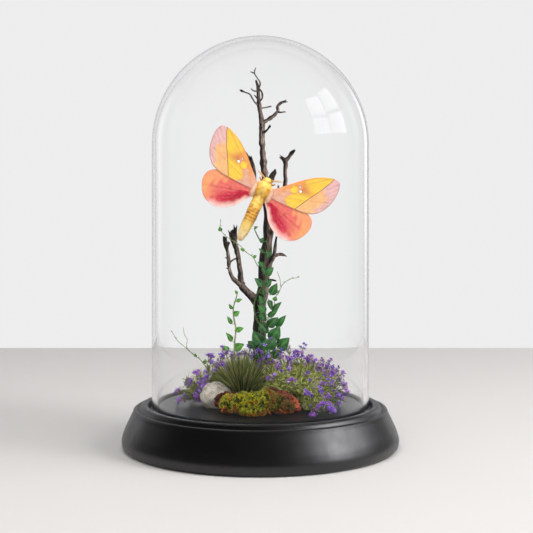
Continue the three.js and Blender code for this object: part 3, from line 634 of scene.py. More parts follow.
def pipe(stations, rows, columns, relief=None, splinter=0.0, seed=0):
    """A pipe along the smooth curve through stations of (x, y, z, radius). The relief
    is a function of the angle, the length and the radius that gives the share of the
    radius to add. Splinter is how far the last rings are pulled out of level, in
    radii, by waves round the pipe. It returns the rings, the two end points, and each
    point's outward direction and length along the pipe."""
    line = smooth(stations, rows)
    path, radius = line[:, :3], np.maximum(line[:, 3], 0.05)
    across, beside, tangent = framed(path)
    turn = np.arange(columns) / columns * 2 * np.pi
    outward = across[:, None] * np.cos(turn)[:, None] + beside[:, None] * np.sin(turn)[:, None]
    way = np.concatenate(([0], np.cumsum(np.linalg.norm(np.diff(path, axis=0), axis=1))))
    angle = np.broadcast_to(turn, (rows, columns))
    length = np.broadcast_to(way[:, None], (rows, columns))
    width = radius[:, None] * np.ones(columns)
    if relief:
        width = width * (1 + relief(angle, length, radius[:, None]))
    rings = path[:, None] + outward * width[..., None]
    ends = path[[0, -1]].copy()
    if splinter:  # a little more than the last two and a half radii are pulled
        near_end = step_up(length, way[-1] - 2.5 * radius[-1] - 0.8, way[-1])
        jag = np.sin(2 * angle + seed) + 0.6 * np.sin(3 * angle + 2.3 * seed)
        jag = jag + 0.35 * np.sin(5 * angle + 4 * seed)
        rings = rings + tangent[:, None] * (near_end * jag * splinter * radius[-1])[..., None]
        ends[1] -= tangent[-1] * radius[-1] * 0.7
    return rings, ends, outward, length


straight = pipe([[0, 0, 0, 1], [0, 0, 10, 1]], rows=5, columns=8)[0]
print("a short pipe, as rings, points and numbers:", straight.shape)


# %% Relief of the wood
def wood_relief(seed, size):
    """Long fibres: noise over the ring and over a seventh of the length, as ridges.
    Knots of two sizes lie over half the length, and the small ones only on thin twigs."""

    def relief(angle, length, radius):
        ring = radius * np.cos(angle), radius * np.sin(angle)
        fibres, knots = (np.stack((*ring, length / press), -1) for press in (7, 2))
        ridges = 1 - np.abs(ripple(fibres, size, seed)) * 1.2
        gnarls = 0.17 * ripple(knots, 2.6, seed + 2) * (radius < 1.7)
        return 0.1 * ridges + 0.09 * ripple(knots, 6.5, seed + 1) + gnarls - 0.05

    return relief


# %% Wood colours
# The second colour is the left side's dark, partly charred and partly painted shade.
CHAR, CHAR_AND_SHADE, WARM, PALE = paint("110e0f"), paint("1e1817"), paint("7b6a61"), paint("b7a398")


def wood_paint(points, outward, length, seed, burnt_tip):
    """Dark on the side that faces left, partly charcoal and partly painted shade, warm
    wood on the right, painted lighter where the light falls and pale along the fibres
    there, and black again towards the broken end."""
    fibres = ripple(points * [1.0, 1.0, 0.14], 0.9, seed)
    patches = ripple(points, 11, seed + 3)
    # painted light and shade: the side that faces right, where the light falls, is lighter and pale along its
    # fibres, and the side that faces left is dark
    lit = step_up(outward[..., 0] * 0.9 - outward[..., 1] * 0.25 + 0.22 * patches + 0.12 * fibres, -0.15, 0.7)
    colour = mixed(CHAR_AND_SHADE, WARM, lit)
    colour = mixed(colour, PALE, lit * step_up(fibres, 0.25, 1.4) * 0.75)
    colour = mixed(colour, CHAR, step_up(-fibres, 0.35, 1.3) * 0.75)
    colour = mixed(colour, CHAR, step_up(patches, 0.75, 1.5) * 0.8)
    end = length.max() - length
    return mixed(colour, CHAR, np.maximum(0, 1 - end / burnt_tip) ** 0.7)


print("lit wood:", WARM.round(3), "pale fibres:", PALE.round(3))


# %% Stations of the branch
# Every limb is a list of (x, y, z, radius) from its foot to its broken end.
BRANCH = {
    "trunk": [
        [[-1.2, 6, 21.8, 4.4], [-0.8, 6, 31.7, 3.4], [-0.7, 5.4, 49.8, 3.1], [-0.4, 5, 61.9, 3.1],
         [0, 4.6, 71, 3.1], [1.4, 4.2, 80, 3], [2.2, 4, 92, 2.9], [3.7, 4, 104, 2.7], [4.1, 4, 112, 2.4],
         [3.2, 4, 124, 2], [2.6, 4, 133, 1.8], [1.9, 4.4, 141, 1.65], [1.3, 5, 149.1, 1.55],
         [0.8, 5.6, 157.1, 1.5], [0.7, 6, 164, 1.4]],
        [[2.5, 3.6, 83, 0.9], [5.4, 1.8, 84.1, 0.6], [8, 0.6, 83.7, 0.25]],
        [[3, 4.5, 130, 1.2], [5.7, 5.4, 136.4, 1.6], [7.2, 6, 139.5, 1.1]],
        [[1.2, 5.2, 159.1, 0.7], [3.6, 3.6, 161, 0.5], [5, 3, 162.8, 0.6]],
    ],
    "leader": [
        [[0.7, 6, 162.4, 1.4], [0.4, 6.2, 167.7, 1.3], [-0.2, 6, 171.2, 1.1], [-0.8, 5.4, 175.1, 1],
         [-1.2, 4.6, 181.4, 0.8], [-1.6, 4.2, 183.6, 0.7], [-2.3, 3.6, 186.4, 0.35]],
        [[-1.2, 4.4, 181.6, 0.5], [-0.1, 3.4, 184.8, 0.4], [-1.6, 2.4, 187.4, 0.35], [-3.1, 1.2, 190, 0.3],
         [-2.4, 0.4, 192.4, 0.2]],
        [[-2.9, 1.4, 189.6, 0.3], [-5, 2.2, 190.6, 0.2]],
        [[-0.7, 5.2, 175.2, 0.5], [0.9, 4, 177.1, 0.45], [0.7, 3.6, 180.1, 0.4], [-1.2, 4.1, 182.7, 0.4]],
        [[-1.2, 4.6, 181, 0.5], [-3.4, 3.4, 180.9, 0.35], [-4.9, 2.8, 181.9, 0.3]],
        [[-0.8, 5.3, 176.3, 0.5], [-3, 6.6, 179, 0.3]],
        [[-0.3, 6, 172.2, 0.5], [2.6, 7, 172.7, 0.35], [5.4, 7.6, 173.4, 0.4]],
    ],
    "upper_left_twig": [
        [[-0.8, 5.6, 173.8, 0.6], [-2.6, 5, 175, 0.5], [-4, 3.8, 176.8, 0.45], [-5.5, 2.4, 179.1, 0.4],
         [-8.1, 1, 180, 0.4], [-9.9, -0.4, 180.7, 0.5]],
    ],
    "upper_right_branch": [
        [[0.9, 6, 164.9, 1.2], [3, 6.4, 165.8, 1.05], [5.3, 7, 167.2, 0.95], [7.8, 7.6, 169.5, 0.85],
         [9, 8, 171.4, 0.8], [9, 8.6, 173.2, 0.75], [10, 9.4, 174.9, 0.75], [13.5, 10.4, 176.5, 0.7]],
        [[8.8, 7.9, 170.6, 0.5], [10, 6.6, 170.2, 0.4], [12.8, 5, 170.3, 0.3]],
    ],
    "broken_limb": [
        [[2, 4.6, 127, 1.6], [-3.4, 7.6, 135.3, 1.2], [-5.1, 9, 142.6, 1.1], [-7.5, 10.4, 149.4, 0.6]],
        [[-2.8, 7.4, 134.5, 1], [-3.9, 8.6, 141.6, 1.1], [-5.2, 9, 147.4, 0.6]],
    ],
    "right_limb": [
        [[4.4, 4.6, 116, 1.7], [8, 6.4, 123.4, 1.4], [11.9, 8, 129.1, 1.15], [13, 8.8, 134.1, 1.05],
         [12.9, 9.4, 139.5, 1], [12.6, 9.8, 145.3, 1.1], [10.4, 10.4, 147.3, 0.7]],
        [[12.6, 9.8, 145.1, 1], [14.6, 9.2, 147.1, 1.15], [15.8, 8.6, 148.7, 1.15], [17.6, 7.6, 150.3, 0.75]],
        [[8.2, 6.6, 124, 0.9], [9.2, 6, 129, 0.7], [9.3, 5.4, 132.3, 0.5]],
    ],
    "right_fork": [
        [[3.2, 3, 86.5, 1.5], [5, 1.6, 92.5, 1.2], [7, 0.4, 97.1, 0.95], [7.6, -0.6, 102, 0.75],
         [8.2, -1.4, 106.1, 0.45]],
        [[6.4, 0.9, 95.7, 0.8], [9, 1, 97.1, 0.9], [10.8, 1.6, 97.1, 0.8], [13.3, 2.6, 96.2, 0.25]],
    ],
    "left_limb": [
        [[0, 4.6, 71, 2.7], [-2.8, 5.4, 74.1, 2.3], [-6.4, 6.2, 77.1, 2], [-9.4, 7, 80.4, 1.8],
         [-10, 7.4, 82.2, 1.6]],
    ],
    "left_limb_inner": [
        [[-9.9, 7.3, 82, 1.5], [-10.4, 8, 85.8, 1.45], [-10.7, 8.4, 88.8, 1.35], [-11.5, 9, 95, 1.2],
         [-12.1, 9.2, 99.4, 1.2], [-12.8, 9.4, 102.9, 0.8], [-13.1, 9.6, 106.9, 0.95], [-13, 9.6, 111.1, 1]],
        [[-12.2, 9.4, 97.3, 1], [-13.4, 10, 101.4, 1.1], [-14.5, 10.4, 104.9, 1.4],
         [-15.6, 10.8, 108.5, 1.05]],
        [[-14.1, 10.2, 103.7, 1.0], [-14.1, 11, 109.3, 0.8]],
    ],
    "left_limb_outer": [
        [[-9.5, 6.8, 80.7, 1.3], [-11.8, 5.6, 82.5, 1.25], [-14, 4.4, 84.8, 1.1], [-15.8, 3.4, 88.5, 0.95],
         [-16.2, 2.6, 92.9, 0.9], [-16.6, 2, 97.4, 0.8], [-17.4, 1.2, 101.3, 1], [-18.3, 0.4, 105.5, 0.95]],
        [[-17.3, 1.6, 100.4, 0.8], [-16.2, 2.6, 103.2, 0.8]],
        [[-16.4, 2.4, 94.7, 0.5], [-17.7, 1.6, 95.4, 0.4]],
        [[-15.9, 3.2, 89.2, 0.5], [-17.3, 2.2, 90.2, 0.4]],
        [[-16.1, 2.7, 92.4, 0.5], [-14.1, 5.6, 94.2, 0.45], [-11.5, 8.8, 94.8, 0.45]],
    ],
}
print("limbs:", sum(len(limbs) for limbs in BRANCH.values()))

# %% Branch
old_wood = painted(
    "charred_wood", rough=(0.62, 0.92), scale=900, contrast=0.75, depth_mm=0.12,
    stretch=(1, 1, 0.14), Specular_IOR_Level=0.3,
)
for number, (name, limbs) in enumerate(BRANCH.items()):
    forms = []
    for index, stations in enumerate(limbs):
        thick = stations[0][3]
        span = sum(np.linalg.norm(np.diff(np.array(stations)[:, :3], axis=0), axis=1))
        # Thicker and longer limbs get more facets.
        columns = int(np.clip(thick * 16, 12, 56))
        rows = int(np.clip(span / 0.4, 8, 380))
        seed = 10 * number + index
        broken = 0.0 if name in ("trunk", "left_limb") and index == 0 else 0.9
        fibres = wood_relief(seed, size=max(0.9, thick * 0.7))
        rings, ends, outward, length = pipe(stations, rows, columns, fibres, broken, seed)
        tip = 6 if broken else 0.5
        colour = wood_paint(rings, outward, length, seed, min(tip, span * 0.6))
        forms.append(one_skin(rings, ends, colour))
    piece(f"wood_{name}", together(forms), [old_wood], [name])

# %% [markdown]
# ## The moth
# It is a small silk moth with a yellow and pink forewing, a crimson and peach hindwing
# and a furry golden body, set on the branch with its back to the viewer. A wing is a
# thin skin between its front edge and its rear edge, and its colours follow measures on
# the wing itself: how far a point is from the outer margin, from the dividing line and
# from the two clear spots. Those distances go to the shader as they are, so that the
# thin brown line and the spots stay sharp at any size.

# %% The moth's own frame
TILT = np.radians(26)
RIGHTWARD = np.array([np.cos(TILT), 0, -np.sin(TILT)])
HEADWARD = np.array([np.sin(TILT), 0, np.cos(TILT)])
UPWARD = np.array([0, -1, 0])
THORAX = np.array([1.3, -1.8, 129.8])


def on_moth(local):
    """Points in the moth's frame, X to the right wing, Y to the head and Z away from
    the branch, as points of the scene."""
    return THORAX + local[..., :1] * RIGHTWARD + local[..., 1:2] * HEADWARD + local[..., 2:] * UPWARD


def line_distance(points, line):
    """The distance of flat points from a bent line, positive on its left side: the
    nearest of its straight stretches counts."""
    best = np.full(points.shape[:-1], 1e9)
    signed = best.copy()
    for start, end in zip(np.array(line[:-1], float), np.array(line[1:], float)):
        way = end - start
        share = np.clip((points - start) @ way / (way @ way), 0, 1)
        off = points - start - share[..., None] * way
        far = np.linalg.norm(off, axis=-1)
        side = np.sign(way[0] * off[..., 1] - way[1] * off[..., 0])
        signed = np.where(far < best, far * side, signed)
        best = np.minimum(far, best)
    return signed


print("the head lies at", on_moth(np.array([0, 6.0, 0])).round(1), "mm")


# %% Wing outlines
# Each wing is given by its front edge and its rear edge, both from the root outwards to
# the same last point.
FORE_FRONT = [[3, 1.2], [7.6, 5.4], [11.2, 8.8], [16, 13.3], [21.5, 17.4], [26.3, 19.7], [30.2, 20.7],
              [33, 20.1], [34.4, 17], [34.6, 14.5]]
FORE_REAR = [[3, -2], [11, -2], [17.4, -1.8], [23.2, -1.4], [28.5, 0.3], [31.6, 3.6], [33.6, 7.8],
             [34.5, 12.5], [34.6, 14.5]]
HIND_FRONT = [[2.5, -1.5], [10, -1], [18, -0.6], [26, -1], [29, -3.3], [30, -7.2], [29.6, -9.5]]
HIND_REAR = [[3, -4.8], [6.4, -8.8], [9.3, -13.1], [13.5, -16.3], [17.5, -17.9], [21.5, -17.8],
             [25.4, -16], [28.6, -11.8], [29.6, -9.5]]
WING_LIFT = 0.09  # how far a wing comes forward for each millimetre outwards


def wing_skin(front, rear, height, rows, columns, colouring, hand):
    """A wing as a closed skin. Across the wing, t runs from the front edge to the rear
    edge on the upper side and back again below, and the thickness swells in between as
    the root of a half circle. Shallow pleats fan out from the root."""
    flat = lambda edge: np.concatenate((np.array(edge, float), np.zeros((len(edge), 1))), 1)
    ends = np.sin(np.linspace(0, np.pi / 2, rows + 1)) ** 0.9 * 400
    picks = np.round(ends).astype(int)[:-1]
    lead, trail = smooth(flat(front), 401)[picks], smooth(flat(rear), 401)[picks]
    around = np.arange(2 * columns) / columns
    t = np.where(around < 1, around, 2 - around)
    side = np.where(around < 1, 1.0, -1.0)
    spread = (1 - np.cos(np.pi * t)) / 2
    spot = lead[:, None] * (1 - spread[:, None]) + trail[:, None] * spread[:, None]
    thick = 0.2 * np.sqrt(np.clip(1 - (2 * spread - 1) ** 2, 0, 1)) * side
    x, y = spot[..., 0], spot[..., 1]
    fan = np.arctan2(y - front[0][1] + 1.5, x + 2)
    pleats = 0.07 * np.cos(fan * 34) * step_up(x, 4, 14) * np.sin(np.pi * spread) ** 0.5
    level = lambda outwards: height + 0.25 + WING_LIFT * outwards
    local = np.stack((hand * x, y, level(x) + pleats + thick), -1)
    tip = np.array([[hand * front[-1][0], front[-1][1], level(front[-1][0])]])
    values = colouring(spot[..., :2])
    if hand < 0:
        local = local[:, ::-1]
        values = {name: value[:, ::-1] for name, value in values.items()}
    root = local[0].mean(0)[None]
    values = {name: value[None] for name, value in values.items()}
    return skins(on_moth(local)[None], on_moth(root), on_moth(tip), **values)


print("between the tips of the forewings:", 2 * FORE_FRONT[-3][0], "mm")


# %% Forewing colours
YELLOW, GOLD, ORANGE = paint("f9d048"), paint("f5c055"), paint("ee9e58")
PEACH, MAUVE, BLUSH = paint("f7c58c"), paint("dcaaae"), paint("e8b096")
WARM_PEACH, ROSE, WARM_BLUSH = paint("f7ad7c"), paint("f0c0b6"), paint("e0a492")
SMUDGE, FORE_RIM, FORE_VEIN = paint("d98850"), paint("b98786"), paint("c07440")
PALE_SPECK = paint("fff0d8")
DIVIDING = [[18.6, -2.4], [19.0, -0.9], [22.6, 5.8], [26.4, 12.4], [29.2, 18.2], [30.2, 21.5]]
FIELD_EDGE = [[17.6, 14.6], [17.4, 11.0], [16.6, 7.4], [14.6, 5.3], [12.9, 3.7], [11.7, 1.6],
              [11.9, -0.1], [13.3, -1.2], [14.4, -2.6]]
OUTER_MARGIN = FORE_FRONT[-3:] + FORE_REAR[-2:3:-1]
CLEAR_SPOTS = [([17.4, 7.6], 0.72), ([16.15, 9.55], 0.42)]


def powder(colour, spot, seed):
    """The uneven powdering of the scales: small patches and streaks along the wing,
    some lighter and some browner."""
    grain = ripple(spot, 0.7, seed) + 0.5 * ripple(spot * [0.5, 1.2, 1], 1.4, seed + 20)
    colour = colour * (0.95 - 0.16 * step_up(grain, 0.3, 1.8))[..., None]
    return mixed(colour, PALE_SPECK, 0.05 * step_up(-grain, 0.2, 1.8))


def forewing_colours(spot):
    """Yellow between the lobed inner edge and the dividing line, blush towards the
    root, orange along the front edge, and peach turning mauve outside the line."""
    seam = -line_distance(spot, DIVIDING)
    field = line_distance(spot, FIELD_EDGE)
    costa = np.abs(line_distance(spot, FORE_FRONT))
    margin = np.abs(line_distance(spot, OUTER_MARGIN))
    x, y = spot[..., 0], spot[..., 1]
    spot3 = np.concatenate((spot, 0 * spot[..., :1]), -1)
    mottle = ripple(spot3, 3.2, 5)
    streaks = ripple(np.stack((0.35 * x + 0.2 * y, 2.2 * y - 1.8 * x, 0 * x), -1), 2.4, 6)
    colour = mixed(BLUSH, WARM_BLUSH, 0.3 + 0.25 * mottle)
    colour = mixed(colour, ORANGE, step_up(4.2 - costa + 0.5 * mottle, 0, 3) * step_up(x, 5, 11))
    yellow = mixed(YELLOW, GOLD, 0.35 + 0.3 * streaks)
    yellow = mixed(yellow, ORANGE, step_up(1.6 - costa, 0, 1.6) * (0.7 - 0.5 * step_up(x, 20, 28)))
    smudge = np.exp(-(((x - 18.3) / 3.0) ** 2 + ((y - 9.6) / 2.5) ** 2)) + 0.5 * np.exp(
        -(((x - 21) / 4.5) ** 2 + ((y - 8.5) / 1.6) ** 2)
    )
    yellow = mixed(yellow, SMUDGE, 0.85 * smudge)
    lobes = field + 0.35 * np.sin(1.9 * x + 1.3 * y)
    colour = mixed(colour, mixed(ORANGE, yellow, step_up(lobes, 0.1, 0.8)), step_up(lobes, -0.35, 0.1))
    patch = 1 - np.hypot((x - 14.15) / 1.9, (y - 7.1) / 2.15)
    colour = mixed(colour, ORANGE, step_up(patch, -0.35, 0.05) * 0.7)
    colour = mixed(colour, YELLOW, step_up(patch, 0.02, 0.22))
    outer = mixed(PEACH, WARM_PEACH, 0.4 + 0.4 * mottle)
    outer = mixed(outer, GOLD, 0.35 * step_up(0.6 * streaks + 0.3, 0, 1))
    towards = 1 - margin / 4.2 + 0.25 * mottle + step_up(y, 9, 15) * 1.3 - 0.3 * step_up(-y, -6, 0)
    outer = mixed(outer, mixed(MAUVE, ROSE, 0.5 + 0.5 * streaks), step_up(towards, 0.0, 0.8))
    colour = mixed(colour, outer, step_up(seam, -0.1, 0.1))
    rim = np.minimum(margin, np.abs(line_distance(spot, FORE_REAR)))
    colour = mixed(colour, FORE_RIM, 0.75 * (1 - step_up(rim, 0.1, 0.5)))
    veins = np.abs(np.sin(9.5 * np.arctan2(y + 3, x + 1)))
    colour = mixed(colour, FORE_VEIN, 0.36 * (1 - step_up(veins, 0.03, 0.16)) * step_up(x, 8, 16))
    rings = [np.linalg.norm(spot - np.array(middle), axis=-1) - radius for middle, radius in CLEAR_SPOTS]
    return {"paint": powder(colour, spot3, 15), "seam": seam, "ring": np.minimum(*rings)}


yellow_spot = forewing_colours(np.array([[22.0, 12.0]]))["paint"]
print("forewing in its yellow field:", yellow_spot.round(2))


# %% Hindwing colours
CRIMSON, RED, CORAL, APRICOT = paint("bd1936"), paint("d83c50"), paint("ec7268"), paint("f6aa68")
SALMON, HIND_VEIN, RED_RAY, PALE_RAY = paint("f99a76"), paint("9c2036"), paint("c8283c"), paint("f9a890")
DARK_SPOT, HIND_RIM, PINK_FUR, CREAM_FUR = paint("a3303a"), paint("e9907c"), paint("f3a9a2"), paint("f8d2c8")
INNER_EDGE = HIND_REAR[:6]
HIND_MARGIN = HIND_REAR[-4:] + HIND_FRONT[-2:2:-1]


def hindwing_colours(spot):
    """Crimson in a wedge from the root, coral round it, apricot towards the margin and
    a pale furry band along the inner edge, with dark red veins."""
    x, y = spot[..., 0], spot[..., 1]
    spot3 = np.concatenate((spot, 0 * spot[..., :1]), -1)
    mottle = ripple(spot3, 3.5, 8)
    out = np.hypot(x - 4, y + 3.6)
    angle = np.degrees(np.arctan2(y + 3.6, x - 4))
    margin = np.abs(line_distance(spot, HIND_MARGIN))
    colour = mixed(APRICOT, SALMON, 0.5 + 0.25 * mottle)
    reach = 1 - out / 23.5 + 0.06 * mottle - 0.25 * step_up(angle, -16, 2)
    colour = mixed(colour, CORAL, step_up(reach, -0.02, 0.22))
    wedge = np.exp(-(((angle + 43) / 24) ** 2))
    depth = wedge * (1.5 - out / 19.5) + step_up(9 - out, 0, 4) * 0.5 * step_up(-angle, 2, 14)
    colour = mixed(colour, RED, step_up(depth, 0.22, 0.58))
    colour = mixed(colour, CRIMSON, step_up(depth, 0.5, 0.95))
    spread = np.abs(((angle + 4) / 8.0) % 1 - 0.5) * 8.0 * np.radians(1) * out
    veins = (1 - step_up(spread, 0.08, 0.36)) * step_up(out, 4, 8) * step_up(26 - out, 2, 9)
    colour = mixed(colour, HIND_VEIN, 0.46 * veins * step_up(-angle, 4, 12))
    rays = np.sin(angle * 0.75 + 1.2 * ripple(spot3, 7, 12)) + 0.8 * np.sin(angle * 1.4)
    colour = mixed(colour, RED_RAY, 0.22 * step_up(rays, 0.5, 1.6) * step_up(depth, 0.0, 0.4))
    colour = mixed(colour, PALE_RAY, 0.14 * step_up(-rays, 0.5, 1.6))
    colour = mixed(colour, DARK_SPOT, 0.6 * np.exp(-(((x - 15.4) / 0.8) ** 2 + ((y + 6.2) / 0.8) ** 2)))
    colour = mixed(colour, HIND_RIM, 0.7 * (1 - step_up(margin, 0.15, 0.8)))
    inner = np.abs(line_distance(spot, INNER_EDGE))
    width = 1.1 + 1.3 * np.clip(out / 14, 0, 1)
    colour = mixed(colour, PINK_FUR, 1 - step_up(inner + 0.3 * mottle, 0.7 * width, 1.5 * width))
    colour = mixed(colour, CREAM_FUR, 1 - step_up(inner + 0.3 * mottle, 0.3 * width, 0.8 * width))
    far = np.full(x.shape, 9.0)
    return {"paint": powder(colour, spot3, 16), "seam": far, "ring": far}


red_spot = hindwing_colours(np.array([[12.0, -10.0]]))["paint"]
print("hindwing in its crimson wedge:", red_spot.round(2))


# %% Wing scales
wing_scales = painted(
    "wing_scales", rough=(0.7, 0.9), scale=2600, contrast=0.34, depth_mm=0.05, Sheen_Weight=0.25,
    Specular_IOR_Level=0.2,
)
wing_scales.node_tree.nodes["Principled BSDF"].inputs["Sheen Roughness"].default_value = 0.5


def masked(material, attribute, low, high, colour, absolute=True):
    """Mixes a colour over what already feeds Base Color, where the attribute lies
    below low, fading out by high."""
    tree = material.node_tree
    shader = tree.nodes["Principled BSDF"]
    under = shader.inputs["Base Color"].links[0].from_socket
    measure = tree.nodes.new("ShaderNodeAttribute")
    measure.attribute_name = attribute
    value = measure.outputs["Fac"]
    if absolute:
        size = tree.nodes.new("ShaderNodeMath")
        size.operation = "ABSOLUTE"
        tree.links.new(value, size.inputs[0])
        value = size.outputs[0]
    ramp = tree.nodes.new("ShaderNodeMapRange")
    ramp.interpolation_type = "SMOOTHSTEP"
    ramp.inputs["From Min"].default_value, ramp.inputs["From Max"].default_value = low, high
    ramp.inputs["To Min"].default_value, ramp.inputs["To Max"].default_value = 1, 0
    tree.links.new(value, ramp.inputs["Value"])
    blend = tree.nodes.new("ShaderNodeMix")
    blend.data_type = "RGBA"
    blend.inputs["B"].default_value = (*colour, 1)
    tree.links.new(ramp.outputs["Result"], blend.inputs["Factor"])
    tree.links.new(under, blend.inputs["A"])
    tree.links.new(blend.outputs["Result"], shader.inputs["Base Color"])


masked(wing_scales, "seam", 0.08, 0.24, paint("8d5a3c"))
masked(wing_scales, "ring", 0.1, 0.32, paint("9c5f45"))
masked(wing_scales, "ring", -0.1, 0.08, paint("fbf7f0"), absolute=False)
print("nodes in the wing finish:", len(wing_scales.node_tree.nodes))

# %% Wings
# Front edge, rear edge, height over the thorax's middle, rows, columns and colours.
FORE = (FORE_FRONT, FORE_REAR, 0.72, 112, 56, forewing_colours)
HIND = (HIND_FRONT, HIND_REAR, 0.22, 84, 50, hindwing_colours)
wings = [wing_skin(*wing, hand) for wing in (FORE, HIND) for hand in (1, -1)]
piece("moth_wings", together(wings), [wing_scales], ["moth"])

# %% [markdown]
# ## Body and fur
# The thorax is a ball of long silky hair and the abdomen is ringed with shorter hair.
# The body under it is made of plain closed skins, a little slimmer than the solid. Each
# hair is a spike with three sides, rooted in the skin, leaning towards the tail and out.
# Its colour is the colour of the place it grows from, a little lighter or darker.

# %% Body skins
GOLDEN, PAINTED_HIGHLIGHT, BROWN, CREAM = paint("ffc850"), paint("ffe080"), paint("9a5518"), paint("ffe6b0")
SIDE_SHADE, SHOULDERS, RING_GOLD = paint("fcb866"), paint("f8c6aa"), paint("f6bd52")
RING_EDGE_SHADE, STRAW, STRAW_EDGE_SHADE = paint("99602a"), paint("fbd878"), paint("eab558")


def body_colour(local):
    """Golden over the back with a bright streak down the middle, a painted highlight,
    orange towards the sides of the thorax as painted shade, and peach at its sides,
    ringed orange brown on the first half of the abdomen, darker along its right edge as
    painted shade, and cream at its end, darker along both edges as painted shade."""
    x, y = local[..., 0], local[..., 1]
    tuft = ripple(local, 2.6, 21)
    fine = ripple(local, 0.9, 22)
    # painted highlight: a bright streak down the middle of the back
    colour = mixed(GOLDEN, PAINTED_HIGHLIGHT, np.exp(-(((x + 0.3) / 1.6) ** 2)) * 0.9 + 0.25 * tuft)
    # painted shade: orange towards the sides of the thorax
    colour = mixed(colour, SIDE_SHADE, step_up(np.abs(x) + 0.5 * tuft, 2.4, 4.1) * 0.7)
    colour = mixed(colour, SHOULDERS, step_up(np.abs(x), 3.8, 5.0) * step_up(2.5 - y, 0, 3) * 0.9)
    bands = (0.5 + 0.5 * np.sin((y + 9 + 0.25 * fine) * 2 * np.pi / 1.6)) ** 1.6
    ringed = mixed(RING_GOLD, BROWN, bands * 0.8 + 0.25 * tuft + 0.2 * fine)
    # painted shade: darker brown along the right edge of the ringed abdomen
    ringed = mixed(ringed, RING_EDGE_SHADE, step_up(x + 0.3 * fine, 1.9, 3.1) * 0.55)
    pale = mixed(STRAW, CREAM, step_up(-y, 19, 26) + 0.2 * bands)
    # painted shade: darker straw along both edges of the abdomen's end
    pale = mixed(pale, STRAW_EDGE_SHADE, step_up(np.abs(x) + 0.3 * fine, 1.8, 3.0) * 0.55)
    colour = mixed(colour, ringed, step_up(-y + 0.4 * tuft, 8.4, 10.8))
    return mixed(colour, pale, step_up(-y + 0.5 * fine, 15.5, 19.5))


def ball(middle, radii, rows=26, columns=36):
    """A stretched ball as rings from its low pole to its high pole."""
    up = np.linspace(-np.pi / 2, np.pi / 2, rows + 2)[1:-1, None]
    turn = np.arange(columns) / columns * 2 * np.pi
    shape = np.stack((np.cos(up) * np.cos(turn), np.cos(up) * np.sin(turn), np.sin(up) + 0 * turn), -1)
    poles = np.array([[0, 0, -1.0], [0, 0, 1.0]])
    return np.array(middle) + shape * radii, np.array(middle) + poles * radii


def body_skin(rings, poles, colour):
    """A closed skin in the moth's frame, with one colour or a colour per point."""
    return one_skin(on_moth(rings), on_moth(poles), colour)


# %% Body
ABDOMEN = [[0, -2.5, 0, 2.7], [0.1, -6, 0.1, 2.95], [0.1, -9, 0.2, 3.05], [0.3, -15, 0.4, 2.95],
           [0.3, -20, 0.5, 2.75], [0.3, -24.5, 0.4, 2.25], [0.3, -27, 0.35, 1.5], [0.3, -28.2, 0.3, 0.6]]
segments = lambda angle, length, radius: 0.045 * np.abs(np.cos(np.pi * length / 1.9)) - 0.03
body_forms = []
for middle, radii in (([0, -0.2, 0], (4.5, 5.4, 3.2)), ([0, 5.2, 0], (2.5, 1.7, 1.9))):
    rings, poles = ball(middle, radii)
    body_forms.append(body_skin(rings, poles, body_colour(rings)))
rings, ends = pipe(ABDOMEN, rows=120, columns=40, relief=segments)[:2]
body_forms.append(body_skin(rings, ends, body_colour(rings)))
for hand in (1, -1):
    rings, poles = ball([hand * 4.1, -0.9, 0.9], (1.7, 4.3, 1.2))
    shoulder = mixed(paint("ffd0b2"), paint("ffe6cc"), 0.5 + ripple(rings, 1.1, 23))
    body_forms.append(body_skin(rings, poles, shoulder))
    body_forms.append(body_skin(*ball([hand * 1.75, 5.9, 0.5], (0.55, 0.6, 0.6), 12, 16), paint("20140f")))
    for root, knee in ([3.2, 5.2], [0.6, 0.8], [-2, -3.7]):
        leg = [[hand * 1.6, root, -1.6, 0.4], [hand * 4.3, knee, -2.4, 0.3],
               [hand * 2.8, knee - 1.6, -3.0, 0.18]]
        rings, ends = pipe(leg, rows=22, columns=8)[:2]
        body_forms.append(body_skin(rings, ends, paint("b9773c")))
print("body skins:", len(body_forms))


# %% Spikes
def spikes(roots, tips, width, **values):
    """Thin closed spikes, three-sided, from roots to tips: one ring of three points at
    the root, and an end point on either side of it."""
    way = unit(tips - roots)
    fixed = np.where(np.abs(way[:, 2:]) < 0.8, [[0, 0, 1.0]], [[1.0, 0, 0]])
    across = unit(np.cross(way, fixed))
    beside = np.cross(way, across)
    turn = np.arange(3) * 2 * np.pi / 3
    width = np.broadcast_to(width, len(roots))[:, None, None]
    ring = across[:, None] * np.cos(turn)[:, None] + beside[:, None] * np.sin(turn)[:, None]
    rings = (roots[:, None] + ring * width)[:, None]
    shape = (len(roots), 1, 3, 3)
    given = {name: np.broadcast_to(value[:, None, None], shape) for name, value in values.items()}
    return skins(rings, roots - way * width[:, 0], tips, **given)


def scattered_on_ball(middle, radii, count, chance):
    """Roots spread over a stretched ball and the outward direction at each."""
    way = unit(chance.normal(size=(count, 3)))
    return np.array(middle) + way * radii, unit(way / np.array(radii))


